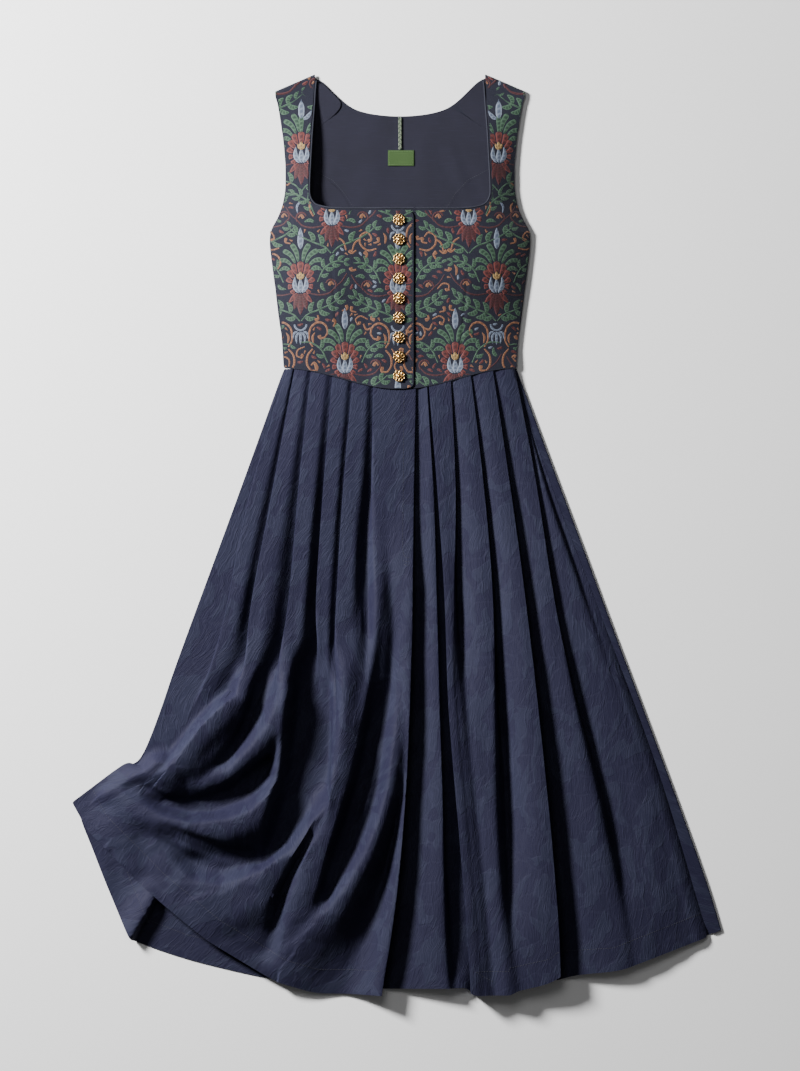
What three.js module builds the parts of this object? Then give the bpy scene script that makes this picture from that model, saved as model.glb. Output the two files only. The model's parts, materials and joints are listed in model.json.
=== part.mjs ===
import * as THREE from "three";

// A dirndl laid out on its back on a table. Millimetres.
// +X is the wearer's left, +Y the neck, +Z up off the table.
// The origin is on the table, under the point of the front waist.

// Thicknesses of the cloth and the gaps between its layers
const SKIRT_WALL = 1.4;
const BODICE_WALL = 1.8;
const LINING_WALL = 1.2;
const SEAM_GAP = 0.3;
const LAYER_PITCH = 2.0; // from one layer of a pressed pleat to the next

// Levels of the middle of each wall above the table
const BACK_SKIRT_LEVEL = SKIRT_WALL / 2;
const FRONT_SKIRT_LEVEL = SKIRT_WALL + SEAM_GAP + SKIRT_WALL / 2;
const BACK_BODICE_LEVEL = BODICE_WALL / 2;
const LINING_LEVEL = BODICE_WALL + SEAM_GAP + LINING_WALL / 2;
const LINING_TOP = LINING_LEVEL + LINING_WALL / 2;
const FRONT_BODICE_LEVEL = LINING_TOP + SEAM_GAP + BODICE_WALL / 2;

// Main sizes of the garment
const WAIST_HALF_WIDTH = 162.6;
const WAIST_SIDE_RISE = 29.4; // the side waist lies this much higher than the front point
const WAIST_CROWN = 8; // how far the front waist stands off the back
const SKIRT_LENGTH = 846;
const UNDERLAP = 20; // the left skirt front runs this far under the right one
const FACING = 16; // turned under along the edge of the right skirt front
const WAIST_GAP = 0.6; // between the bodice and the pleats
const FRONT_EDGE = 19; // the right bodice front laps this far past the centre
const BODICE_UNDERLAP = 18;
const LAP_RISE = 2.3; // the right bodice front stands this much higher where it laps over
const BUTTON_COUNT = 9;
const BUTTON_TOP_Y = 236.5;
const BUTTON_PITCH = 27.2;
const BUTTON_X = -1.4;
const BUTTON_RADIUS = 8.8;
const BUTTON_CLEARANCE = 0.5; // over the cloth, which curves a little under it

const NAVY = 0x2c2f4a;
const JACQUARD = 0x2a2b3a;
const GOLD = 0xb08a46;
const LABEL_GREEN = 0x4d6b34;

const CLOTH = { roughness: 0.85, metalness: 0 };
const FINISH = {
  skirt: { color: NAVY, ...CLOTH },
  jacquard: { color: JACQUARD, ...CLOTH },
  lining: { color: 0x33374f, ...CLOTH },
  button: { color: GOLD, roughness: 0.35, metalness: 1 },
  label: { color: LABEL_GREEN, ...CLOTH },
  braid: { color: 0x9fb49a, ...CLOTH },
};

const LEAST_MITRE = 0.7; // a wall grows no thicker than this allows where it bends

const lerp = THREE.MathUtils.lerp;
const clamp = THREE.MathUtils.clamp;
const smooth = (value, from, to) => THREE.MathUtils.smoothstep(value, from, to);

// Straight-line reading of a table of [at, value] rows.
function read(table, at) {
  if (at <= table[0][0]) return table[0][1];
  for (let i = 1; i < table.length; i++) {
    const [a, va] = table[i - 1];
    const [b, vb] = table[i];
    if (at <= b) return lerp(va, vb, (at - a) / (b - a));
  }
  return table[table.length - 1][1];
}

// Value of a list of evenly spaced numbers at a fractional index, on a smooth curve.
function curve(values, at) {
  const last = values.length - 1;
  const k = clamp(Math.floor(at), 0, last - 1);
  const t = clamp(at - k, 0, 1);
  const p1 = values[k];
  const p2 = values[k + 1];
  const p0 = k > 0 ? values[k - 1] : 2 * p1 - p2;
  const p3 = k + 2 <= last ? values[k + 2] : 2 * p2 - p1;
  const slope1 = (p2 - p0) / 2;
  const slope2 = (p3 - p1) / 2;
  const t2 = t * t;
  const t3 = t2 * t;
  return (
    p1 * (2 * t3 - 3 * t2 + 1) +
    slope1 * (t3 - 2 * t2 + t) +
    p2 * (3 * t2 - 2 * t3) +
    slope2 * (t3 - t2)
  );
}

function unit(from, to) {
  return to.clone().sub(from).normalize();
}

// A cloth wall: rows of points on its middle, each row of the same length, given a thickness.
// keep(row, column) can leave out cells, as above a neckline.
function wall(rows, thickness, keep = () => true) {
  const wide = rows[0].length;
  const at = (r, c) => r * wide + c;
  const kept = (r, c) =>
    r >= 0 && c >= 0 && r < rows.length - 1 && c < wide - 1 && keep(r, c);
  // The outward direction at a point: the mean over the cells round it, longer where they bend.
  const outward = (r, c) => {
    const sum = new THREE.Vector3();
    let count = 0;
    for (const [dr, dc] of [[-1, -1], [-1, 0], [0, -1], [0, 0]]) {
      if (!kept(r + dr, c + dc)) continue;
      const [r2, c2] = [dr < 0 ? r - 1 : r + 1, dc < 0 ? c - 1 : c + 1];
      const down = unit(rows[r][c], rows[r2][c]).multiplyScalar(r2 - r);
      const across = unit(rows[r][c], rows[r][c2]).multiplyScalar(c2 - c);
      sum.add(down.cross(across).normalize());
      count += 1;
    }
    if (count === 0) return sum;
    const length = sum.length() / count;
    return sum.normalize().divideScalar(Math.max(LEAST_MITRE, length));
  };
  const upper = [];
  const lower = [];
  rows.forEach((row, r) =>
    row.forEach((point, c) => {
      const normal = outward(r, c).multiplyScalar(thickness / 2);
      upper.push(point.clone().add(normal));
      lower.push(point.clone().sub(normal));
    }),
  );
  const points = [...upper, ...lower];
  const half = upper.length;
  const faces = [];
  const quad = (a, b, c, d, turned = false) =>
    turned ? faces.push(b, c, d, b, d, a) : faces.push(a, b, c, a, c, d);
  const middle = rows.flat();
  const rim = (a, b) => quad(a, b, b + half, a + half);
  for (let r = 0; r < rows.length - 1; r++) {
    for (let c = 0; c < wide - 1; c++) {
      if (!kept(r, c)) continue;
      const [a, b, d, e] = [at(r, c), at(r, c + 1), at(r + 1, c), at(r + 1, c + 1)];
      const turned = middle[b].distanceTo(middle[d]) < middle[a].distanceTo(middle[e]);
      quad(a, d, e, b, turned);
      quad(a + half, b + half, e + half, d + half, turned);
      if (!kept(r - 1, c)) rim(a, b);
      if (!kept(r + 1, c)) rim(e, d);
      if (!kept(r, c - 1)) rim(d, a);
      if (!kept(r, c + 1)) rim(b, e);
    }
  }
  const geometry = new THREE.BufferGeometry();
  geometry.setAttribute(
    "position",
    new THREE.Float32BufferAttribute(points.flatMap((p) => p.toArray()), 3),
  );
  geometry.setIndex(faces);
  geometry.computeVertexNormals();
  return geometry;
}

// Moves the border of a panel inwards, which leaves the gap at its seams.
function inset(rows, distance) {
  const last = rows.length - 1;
  const end = rows[0].length - 1;
  const pull = (point, inner) =>
    point.clone().add(unit(point, inner).multiplyScalar(distance));
  const moved = rows.map((row, r) =>
    row.map((point, c) => {
      const c2 = c === 0 ? 1 : c === end ? end - 1 : c;
      return c2 === c ? point : pull(point, rows[r][c2]);
    }),
  );
  return moved.map((row, r) =>
    row.map((point, c) => {
      const r2 = r === 0 ? 1 : r === last ? last - 1 : r;
      return r2 === r ? point : pull(point, moved[r2][c]);
    }),
  );
}

// The waist seam on the front: a shallow point at the centre.
function frontWaistY(x) {
  const turn = (Math.PI * Math.min(Math.abs(x), WAIST_HALF_WIDTH)) / WAIST_HALF_WIDTH;
  return (WAIST_SIDE_RISE / 2) * (1 - Math.cos(turn));
}

// The skirt.
// Both fronts hang in pressed knife pleats from the waist, which open into waves to the hem.
// Each fold runs through seven stations from the waist to the hem.

const STATION_Y = [0, -152, -304, -457, -609, -761, -SKIRT_LENGTH];
const WAVE_HEIGHT = [4, 11, 18, 23, 26, 28, 27]; // of a full fold, at each station
const TUCK = [12, 11, 8, 6, 5, 4, 4]; // how far the cloth runs back under a fold's edge

const MOST_TUCK = 0.42; // of the face beside the fold
// A soft fold has no tuck: half its crown, its flank and its foot in X, with room for the whole of it.
const SOFT = { crown: 3, flank: 8, foot: 13, shoulder: 0.25, fullRoom: 30 };

// side: 1 where the edge points to +X, -1 where it points to -X.
// x: the edge at each station. size: its share of the full wave height.
// soft, gone: the stations from which it is no longer tucked, and from which it has run out.
const NEVER = 9;
const ALWAYS = -1;
const LEFT_FOLDS = [
  { side: 1, size: 0.6, soft: ALWAYS, gone: NEVER, x: [24, 38, 47, 51, 57, 68, 74] },
  { side: -1, size: 1.0, soft: NEVER, gone: NEVER, x: [40, 52, 63, 68, 80, 92, 99] },
  { side: 1, size: 0.9, soft: 1.6, gone: 3.2, x: [71, 77, 76, 82, 98, 112, 120] },
  { side: 1, size: 0.95, soft: 3.2, gone: NEVER, x: [99, 117, 129, 133, 137, 146, 157] },
  { side: 1, size: 1.0, soft: NEVER, gone: NEVER, x: [128, 153, 174, 191, 204.5, 217, 223] },
  { side: 1, size: 0.75, soft: 3, gone: NEVER, x: [148, 180, 207, 234, 266, 292, 305] },
  { side: 1, size: 0.35, soft: ALWAYS, gone: NEVER, x: [154, 197, 246, 292, 336, 370, 392] },
];
// The seam to the back skirt, which lies on top near this edge
const LEFT_SEAM_X = [158.5, 208.3, 265.6, 321.7, 370, 409.5, 431];
const SIDE_X = [162.6, 219.4, 275.5, 330.5, 381, 428, 449]; // outline on the wearer's left

// The hem of each front: [x, y]
const LEFT_HEM = [
  [-40, -838],
  [97, -836],
  [100, -846],
  [156, -845],
  [162, -840],
  [221, -826],
  [224, -819],
  [304, -813],
  [339, -800],
  [431, -765],
  [449, -756],
];
const RIGHT_HEM = [
  [-459, -577],
  [-437, -616],
  [-354, -700],
  [-270, -769],
  [-177, -826],
  [-118, -844],
  [-26, -846],
];

// Folds of the right front. The last three stations run into the swept hem, so they have a y too.
const RIGHT_Y = [0, -152, -304, -389];
const RIGHT_FOLDS = [
  { name: "side", loosens: 2.7, face: 0, x: [-162.6, -228, -284, -315, -360, -388, -459], y: [-514, -525, -577] },
  { name: "outer", side: -1, size: 0.5, loosens: 2.7, face: 1, x: [-157, -212, -242, -267, -326, -372, -452], y: [-508, -550, -590] },
  { name: "A", side: -1, size: 0.9, loosens: 2.7, face: 2, x: [-147, -180, -209, -220, -273, -339, -444], y: [-463, -546, -604] },
  { name: "B", side: -1, size: 1.0, loosens: 2.8, face: 2, x: [-124, -143, -156, -173, -200, -294, -432], y: [-496, -560, -625] },
  { name: "C", side: -1, size: 0.95, loosens: 2.4, face: 3, x: [-94, -108, -118, -119, -175, -294, -385], y: [-574, -619, -669] },
  { name: "D", side: -1, size: 1.1, loosens: 3.0, face: 4, x: [-66, -80, -89, -92, -92, -154, -193], y: [-560, -707, -813] },
  { name: "E", side: -1, size: 0.8, soft: 0.9, loosens: 0.9, face: 4, x: [-37, -39, -35, -32, -39, -67, -105], y: [-560, -721, -844] },
  { name: "edge", loosens: 0.9, face: 4, x: [21.8, 18.8, 17.2, 15, 8, -6, -26], y: [-560, -714, -846] },
];
const EDGE_SIZE = 0.8; // share of the full wave that the front edge stands up
const LOOSENS_OVER = 1.3; // stations over which a pressed fold becomes a plain sheet
const SETTLING = 0.55; // how far loose cloth goes towards the mean of what is beside it
const SETTLING_PASSES = 3;

// Ridges of the swept hem. Each row: points [x, y, height], and the reach on each side of them.
const RIDGES = [
  { name: "crest", left: 10, right: 34, path: [[-216, -380, 26], [-226, -430, 30], [-265, -456, 33], [-295, -490, 32], [-325, -525, 27], [-345, -545, 16]] },
  { name: "belly", left: 22, right: 20, path: [[-160, -380, 26], [-163, -455, 28], [-200, -496, 27], [-235, -530, 24], [-270, -546, 18], [-305, -550, 10]] },
  { name: "roll", left: 20, right: 17, path: [[-172, -514, 14], [-178, -545, 24], [-200, -572, 27], [-240, -592, 27], [-285, -598, 24], [-330, -586, 18], [-375, -562, 12]] },
  { name: "lower", left: 18, right: 24, path: [[-100, -530, 20], [-115, -572, 27], [-142, -618, 28], [-173, -660, 25], [-210, -686, 20], [-250, -688, 12]] },
  { name: "D", left: 10, right: 30, path: [[-90, -300, 24], [-91, -450, 28], [-91, -540, 29], [-94, -615, 29], [-110, -650, 26], [-132, -682, 20], [-152, -712, 8]] },
  { name: "placket", left: 26, right: 12, path: [[-52, -240, 14], [-44, -330, 20], [-50, -420, 22], [-70, -500, 20]] },
  { name: "toe", left: 22, right: 18, path: [[-12, -600, 10], [-30, -650, 20], [-52, -702, 22], [-95, -735, 12]] },
  { name: "edge", left: 30, right: 24, path: [[19, -150, 8], [14, -389, 19], [8, -560, 22], [-6, -714, 24], [-26, -846, 22]] },
];
const RIDGE_BLEND = 3; // power of the mean that joins ridges

// The level that the valleys of the front skirt rest at.
function valleyLevel(x, y) {
  const across = 1 - Math.min(1, (Math.abs(x) / WAIST_HALF_WIDTH) ** 4);
  const crown = WAIST_CROWN * across * smooth(y, -210, 10);
  return FRONT_SKIRT_LEVEL + crown;
}

// Height of one ridge over a point.
function ridgeHeight(ridge, x, y) {
  let best = 0;
  for (let i = 1; i < ridge.path.length; i++) {
    const [ax, ay, ah] = ridge.path[i - 1];
    const [bx, by, bh] = ridge.path[i];
    const [dx, dy] = [bx - ax, by - ay];
    const long = dx * dx + dy * dy;
    const t = clamp(((x - ax) * dx + (y - ay) * dy) / long, 0, 1);
    const [ox, oy] = [x - ax - t * dx, y - ay - t * dy];
    const toLeft = dx * oy - dy * ox < 0;
    const far = Math.hypot(ox, oy) / (toLeft ? ridge.left : ridge.right);
    best = Math.max(best, lerp(ah, bh, t) * Math.exp(-far * far));
  }
  return best;
}

function drapeHeight(x, y) {
  const sum = RIDGES.reduce((s, r) => s + ridgeHeight(r, x, y) ** RIDGE_BLEND, 0);
  return sum ** (1 / RIDGE_BLEND);
}

// The four points of a fold's edge in a cross-section, from -X to +X: [x, height over the valley].
// tuckRoom, openRoom: the space beside it, on the side it is tucked under and on the other.
function foldPoints(fold, x, station, tuckRoom, openRoom) {
  const soft = smooth(station, fold.soft - 0.6, fold.soft + 0.6);
  const gone = smooth(station, fold.gone - 1.2, fold.gone);
  const full = 2 * LAYER_PITCH;
  const crest = full + (curve(WAVE_HEIGHT, station) - full) * fold.size;
  const closed = fold.soft < 0 ? smooth(station, 0.2, 1.2) : 1;
  const height = crest * closed;
  const valley = height * 0.85 * gone;
  const deep = height - valley;
  const tuck = Math.min(curve(TUCK, station), MOST_TUCK * tuckRoom);
  const spread = clamp(openRoom / SOFT.fullRoom, 0.1, 1);
  const layer = lerp(LAYER_PITCH, SOFT.shoulder * deep, soft);
  const crown = fold.side * SOFT.crown * soft * spread;
  const points = [
    [x - crown, height],
    [x + crown, height - layer],
    [x - fold.side * lerp(tuck, -SOFT.flank * spread, soft), valley + layer * lerp(1, 0.7, soft)],
    [x - fold.side * lerp(tuck, -SOFT.foot * spread, soft), valley],
  ];
  return fold.side > 0 ? points : points.reverse();
}

// The points on the face between two folds, clear of what is tucked under it.
function facePoints(before, after, count) {
  const from = Math.max(...before.map((p) => p[0]));
  const to = Math.min(...after.map((p) => p[0]));
  const a = before[before.length - 1][1];
  const b = after[0][1];
  const open = Math.max(0, Math.abs(a - b) - 2 * LAYER_PITCH);
  const points = [];
  for (let i = 1; i <= count; i++) {
    const t = (i - 0.5) / count;
    const nearStart = t < 0.5;
    const end = nearStart ? a : b;
    const near = Math.abs(t - (nearStart ? 0 : 1)) * 2;
    const share = (end > (nearStart ? b : a) ? 0.2 : 0.42) * near;
    const toOther = Math.sign((nearStart ? b : a) - end);
    points.push([lerp(from, to, t), end + toOther * share * open]);
  }
  return points;
}

// Each fold keeps clear of its neighbours, or of where the section starts and ends.
function foldsAt(folds, places, station, start, end) {
  return folds.map((fold, i) => {
    const before = places[i] - (places[i - 1] ?? start);
    const after = (places[i + 1] ?? end) - places[i];
    const [tuckRoom, openRoom] = fold.side > 0 ? [before, after] : [after, before];
    const settled = { soft: NEVER, gone: NEVER, ...fold };
    return foldPoints(settled, places[i], station, tuckRoom, openRoom);
  });
}

const LEFT_STATIONS = [0, 0.3, 0.6, 1, 1.4, 1.8, 2.2, 2.6, 3, 3.5, 4, 4.5, 5, 5.5, 6];
const STRIP_RISE = 0.4; // the strip of the back skirt beyond the seam lies this much higher

// A point of the pleated side: how far down it is comes from its station.
function leftPoint(x, station, height) {
  const waist = frontWaistY(x) - SEAM_GAP / 2;
  const y = lerp(waist, read(LEFT_HEM, x), -curve(STATION_Y, station) / SKIRT_LENGTH);
  return new THREE.Vector3(x, y, height);
}

function leftFrontRows() {
  const edgeGuide = RIGHT_FOLDS[RIGHT_FOLDS.length - 1];
  return LEFT_STATIONS.map((station) => {
    const places = LEFT_FOLDS.map((fold) => curve(fold.x, station));
    const lap = curve(edgeGuide.x, station);
    const seam = curve(LEFT_SEAM_X, station) - SEAM_GAP / 2;
    const start = [[lap - UNDERLAP, 0], [lap, 0]];
    const finish = [[seam, STRIP_RISE]];
    const groups = [start, ...foldsAt(LEFT_FOLDS, places, station, lap, seam), finish];
    const section = [...start];
    for (let g = 1; g < groups.length; g++) {
      const faces = g === 1 ? 0 : 2;
      section.push(...facePoints(groups[g - 1], groups[g], faces), ...groups[g]);
    }
    return section.map(([x, height]) => {
      const point = leftPoint(x, station, height);
      point.z += valleyLevel(point.x, point.y);
      return point;
    });
  });
}

// Where each column of the right front stands among the folds: 2 is on the third guide.
function rightShares() {
  const last = RIGHT_FOLDS.length - 1;
  const shares = [0];
  for (let k = 1; k <= last; k++) {
    const from = k === 1 ? 0 : k - 0.75;
    const to = k === last ? last : k - 0.25;
    const count = RIGHT_FOLDS[k].face;
    for (let i = 1; i <= count; i++) shares.push(lerp(from, to, i / (count + 1)));
    if (k < last) for (let m = 0; m < 4; m++) shares.push(k + (m - 1.5) / 6);
  }
  return [...shares, last];
}

function rightGuides(station) {
  return RIGHT_FOLDS.map((fold) => {
    const levels = [frontWaistY(fold.x[0]), ...RIGHT_Y.slice(1), ...fold.y];
    return new THREE.Vector2(curve(fold.x, station), curve(levels, station));
  });
}

// The pressed section over the guides.
function rightSection(guides, station) {
  const last = RIGHT_FOLDS.length - 1;
  const places = guides.map((g) => g.x);
  const pressed = 2 * LAYER_PITCH;
  const edgeHeight = pressed + (curve(WAVE_HEIGHT, station) - pressed) * EDGE_SIZE;
  const inner = foldsAt(RIGHT_FOLDS.slice(1, last), places.slice(1, last), station, places[0], places[last]);
  const groups = [[[places[0], 0]], ...inner, [[places[last], edgeHeight]]];
  return groups.flatMap((group, g) =>
    g === 0 ? group : [...facePoints(groups[g - 1], group, RIGHT_FOLDS[g].face), ...group],
  );
}

// Height of a row of points at x, on its stretch next to the last point.
function rowHeight(row, x) {
  for (let i = row.length - 1; i > 0; i--) {
    const [a, b] = [row[i - 1], row[i]];
    if (a.x <= x) return lerp(a.z, b.z, clamp((x - a.x) / (b.x - a.x), 0, 1));
  }
  return row[0].z;
}

// Evens out the heights of the loose cloth, as its weight does.
function settle(rows, looseness, passes) {
  const settled = rows.map((row) => row.map((point) => point.clone()));
  for (let pass = 0; pass < passes; pass++) {
    const from = settled.map((row) => row.map((point) => point.z));
    settled.forEach((row, r) =>
      row.forEach((point, c) => {
        const beside = [from[r - 1]?.[c], from[r + 1]?.[c], from[r][c - 1], from[r][c + 1]];
        const heights = beside.filter((z) => z !== undefined);
        if (heights.length < 4) return;
        const mean = heights.reduce((sum, z) => sum + z, 0) / heights.length;
        point.z = lerp(point.z, mean, SETTLING * looseness[r][c]);
      }),
    );
  }
  return settled;
}

function rightFrontRows() {
  const shares = rightShares();
  const looseness = [];
  const lowerCount = 18;
  const upper = [0, 0.3, 0.6, 1, 1.4, 1.8, 2.2, 2.6, 3];
  const lower = Array.from({ length: lowerCount }, (_, i) => 3 + (3 * (i + 1)) / lowerCount);
  const sheet = [...upper, ...lower].map((station) => {
    const guides = rightGuides(station);
    const looseRow = [];
    looseness.push(looseRow);
    return rightSection(guides, station).map(([x, height], c) => {
      const k = Math.min(RIGHT_FOLDS.length - 2, Math.floor(shares[c]));
      const within = shares[c] - k;
      const spread = guides[k].clone().lerp(guides[k + 1], within);
      const from = lerp(RIGHT_FOLDS[k].loosens, RIGHT_FOLDS[k + 1].loosens, within);
      const loose = smooth(station, from, from + LOOSENS_OVER);
      looseRow.push(loose);
      const place = new THREE.Vector2(lerp(x, spread.x, loose), spread.y);
      const guideWaist = lerp(
        frontWaistY(RIGHT_FOLDS[k].x[0]),
        frontWaistY(RIGHT_FOLDS[k + 1].x[0]),
        within,
      );
      const slip = frontWaistY(place.x) - SEAM_GAP / 2 - guideWaist;
      place.y += slip * Math.max(0, 1 - station);
      if (station === 6) place.y = read(RIGHT_HEM, place.x);
      const open = drapeHeight(place.x, place.y) * smooth(shares[c], 0, 0.9);
      const level = valleyLevel(place.x, place.y);
      return new THREE.Vector3(place.x, place.y, level + lerp(height, open, loose));
    });
  });
  return settle(sheet, looseness, SETTLING_PASSES).map((row, r) => {
    // The facing is turned under along the front edge.
    const edge = row[row.length - 1];
    const inner = edge.x - FACING;
    const floor = valleyLevel(inner, edge.y) + LAYER_PITCH;
    const under = edge.clone().setZ(edge.z - LAYER_PITCH);
    const level = Math.max(floor, Math.min(rowHeight(row, inner), edge.z) - 1.5 * LAYER_PITCH);
    return [...row, under, new THREE.Vector3(inner, edge.y, r < 2 ? floor : level)];
  });
}

// The back skirt lies flat under both fronts, and comes round the wearer's left side.
// Its hem is a little shorter than the front's, except where the front is swept aside.
const BACK_HEM = [
  [-459, -577],
  [-434, -631],
  [-409, -699],
  [-377, -769],
  [-308, -795],
  [-210, -819],
  [-118, -836],
  [-27, -838],
  [98, -833],
  [224, -815],
  [312, -806],
];
// The turn at the wearer's left, in from the outline: [distance, level]
const TURN = [
  { back: 1.05, level: 0.7 },
  { back: 0.3, level: 1.0 },
  { back: 0, level: 1.75 },
  { back: 0.3, level: 2.5 },
  { back: 1.05, level: FRONT_SKIRT_LEVEL + STRIP_RISE },
];

function backSkirtRows() {
  const side = RIGHT_FOLDS[0];
  return LEFT_STATIONS.map((station) => {
    const left = rightGuides(station)[0];
    left.y -= SEAM_GAP / 2;
    const outline = curve(SIDE_X, station);
    const down = -curve(STATION_Y, station) / SKIRT_LENGTH;
    const right = leftPoint(outline, station, 0);
    const columns = [...BACK_HEM, [SIDE_X[SIDE_X.length - 1], LEFT_HEM[LEFT_HEM.length - 1][1]]];
    const under = columns.map(([hemX, hemY], i) => {
      const across = i / (columns.length - 1);
      // Between the two side lines, and bowed as the hem is
      const place = left.clone().lerp(new THREE.Vector2(right.x, right.y), across);
      const [firstX, firstY] = columns[0];
      const [lastX, lastY] = columns[columns.length - 1];
      place.x += (hemX - lerp(firstX, lastX, across)) * down;
      place.y += (hemY - lerp(firstY, lastY, across)) * down;
      return new THREE.Vector3(place.x, place.y, BACK_SKIRT_LEVEL);
    });
    under.pop();
    const turn = TURN.map(({ back, level }) => leftPoint(outline - back, station, level));
    const seam = curve(LEFT_SEAM_X, station) + SEAM_GAP / 2;
    const top = FRONT_SKIRT_LEVEL + STRIP_RISE;
    return [...under, ...turn, leftPoint(seam, station, top)];
  });
}

// The bodice. Half outline at the side: [y, x]
const OUTLINE = [
  [29.4, 162.6],
  [70, 165],
  [112, 170],
  [154, 176],
  [196, 181.5],
  [220, 183],
  [238, 172],
  [255, 164.5],
  [280, 160],
  [315, 160],
  [350, 163],
  [385, 168.5],
  [418, 174.5],
];
// How far the middle of the front stands off the lining: [y, height]
const CROWN = [
  [29, 8],
  [112, 16],
  [154, 20],
  [220, 22],
  [250, 22],
  [315, 18],
  [350, 14],
  [385, 8],
  [404, 2],
  [418, 0],
];
const BUST = { x: 95, y: 155, reach: 50, rise: 5 };

// Rows of the strap, shoulder first: the outer and the inner end. drop: where the strap goes round the shoulder.
const STRAP_FRACTIONS = [0, 0.1, 0.35, 0.65, 0.9, 1];
const SHOULDER = { outer: [174.5, 418], inner: [119, 442] };
const SHOULDER_TURN = [
  { back: 0.9, level: 2.65 },
  { back: 1.5, level: 3.5 },
  { back: 2.9, level: 4.1 },
  { back: 9, level: FRONT_BODICE_LEVEL },
];
const STRAP_ROWS = [
  { outer: [171.5, 402], inner: [120.3, 422] },
  { outer: [168.5, 385], inner: [121.5, 402] },
  { outer: [163, 350], inner: [124.5, 362] },
  { outer: [160, 315], inner: [126.8, 320] },
  { outer: [160, 285], inner: [128.4, 288] },
  { outer: [161.7, 268], inner: [127.5, 270] },
];
// The row along the neckline: its points from the side, and the same columns at the waist.
const NECK_ROW = [
  [166.7, 250],
  [163, 251],
  [152.5, 254],
  [139, 258],
  [128, 261.5],
  [124.5, 262],
  [119.5, 257.6],
  [103, 252.4],
  [86, 250.9],
  [68, 250.6],
  [48, 250.6],
  [28, 250.6],
  [8, 250.6],
];
const WAIST_X = [162.6, 158, 146, 134, 121, 112, 102, 90, 76, 61, 45, 28, 10];
const BODICE_LEVELS = [238, 220, 196, 175, 155, 135, 112, 90, 68, 50, 38];

// Height of the middle of the front bodice. lap: 1 on the front that lies on top.
function bodiceHeight(x, y, lap) {
  const side = read(OUTLINE, y);
  const across = 1 - Math.min(1, (Math.abs(x) / side) ** 4);
  const far = Math.hypot(Math.abs(x) - BUST.x, y - BUST.y) / BUST.reach;
  const bust = BUST.rise * Math.exp(-far * far);
  const overPleats = (2 * LAYER_PITCH - (FRONT_BODICE_LEVEL - FRONT_SKIRT_LEVEL)) *
    (1 - smooth(y - frontWaistY(x), 0, 30));
  const lapped = lap * LAP_RISE * smooth(x, -48, -28);
  return FRONT_BODICE_LEVEL + read(CROWN, y) * across + bust + overPleats + lapped;
}

// Both fronts. side: 1 for the wearer's left. Rows run from the shoulder to the waist.
function bodiceFrontRows(side) {
  const lap = side < 0 ? 1 : 0;
  const centre = side < 0 ? -FRONT_EDGE : -BODICE_UNDERLAP;
  const flat = [];
  const across = (row, f) => [
    lerp(row.outer[0], row.inner[0], f),
    lerp(row.outer[1], row.inner[1], f),
  ];
  const wide = NECK_ROW.length + 1;
  const fill = (points) => {
    while (points.length < wide) points.push(points[points.length - 1]);
    return points;
  };
  for (const { back, level } of SHOULDER_TURN) {
    const points = STRAP_FRACTIONS.map((f) => {
      const [x, y] = across(SHOULDER, f);
      return [x, y - back, level];
    });
    flat.push(fill(points));
  }
  for (const row of STRAP_ROWS) flat.push(fill(STRAP_FRACTIONS.map((f) => across(row, f))));
  const neck = [...NECK_ROW, [centre, NECK_ROW[NECK_ROW.length - 1][1]]];
  flat.push(neck);
  const waistLine = [...WAIST_X, centre];
  for (const level of BODICE_LEVELS) {
    flat.push(
      neck.map(([neckX, y0], i) => {
        const down = (NECK_ROW[0][1] - level) / (NECK_ROW[0][1] - WAIST_SIDE_RISE);
        // Straight down to the waist, and near the side out to the outline
        const straight = lerp(neckX, waistLine[i], down);
        const side0 = lerp(neck[0][0], waistLine[0], down);
        const bulge = read(OUTLINE, level) - side0;
        const x = straight + bulge * Math.max(0, straight / side0) ** 3;
        const waist = frontWaistY(x) + WAIST_GAP - SEAM_GAP / 2;
        return [x, lerp(y0, waist, down)];
      }),
    );
  }
  flat.push(waistLine.map((x) => [x, frontWaistY(x) + WAIST_GAP - SEAM_GAP / 2]));
  return flat.map((row) => {
    const points = row.map(([x, y, level]) =>
      new THREE.Vector3(side * x, y, level ?? bodiceHeight(side * x, y, lap)));
    return side < 0 ? points : points.reverse();
  });
}

const NECK_ROW_AT = SHOULDER_TURN.length + STRAP_ROWS.length;

function bodiceFront(side) {
  const rows = bodiceFrontRows(side);
  const wide = rows[0].length;
  const strap = STRAP_FRACTIONS.length - 1;
  const keep = (r, c) => r >= NECK_ROW_AT || (side < 0 ? c < strap : c >= wide - 1 - strap);
  return wall(rows, BODICE_WALL, keep);
}

// The back bodice lies flat: columns by their share of the half width, and the top of each.
const BACK_TOP = [
  { share: 1, top: [174.5, 418] },
  { share: 0.85, top: [147, 429.9] },
  { share: 0.68, top: [119, 442] },
  { share: 0.55, top: [97.5, 420.3] },
  { share: 0.43, top: [76, 398.5] },
  { share: 0.3, top: [56, 389] },
  { share: 0.15, top: [27, 384] },
  { share: 0, top: [0, 382.5] },
];
const BACK_UPPER = [0, 0.32, 0.66, 1]; // shares of the way from the top to the yoke line
const YOKE_Y = 315;
const BACK_LEVELS = [280, 255, 238, 220, 196, 154, 112, 70, 29.4];

// A half row given from the centre out, completed on both sides.
function bothSides(half) {
  const mirrored = half.slice(1).map((p) => new THREE.Vector3(-p.x, p.y, p.z));
  return [...mirrored.reverse(), ...half];
}

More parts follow.
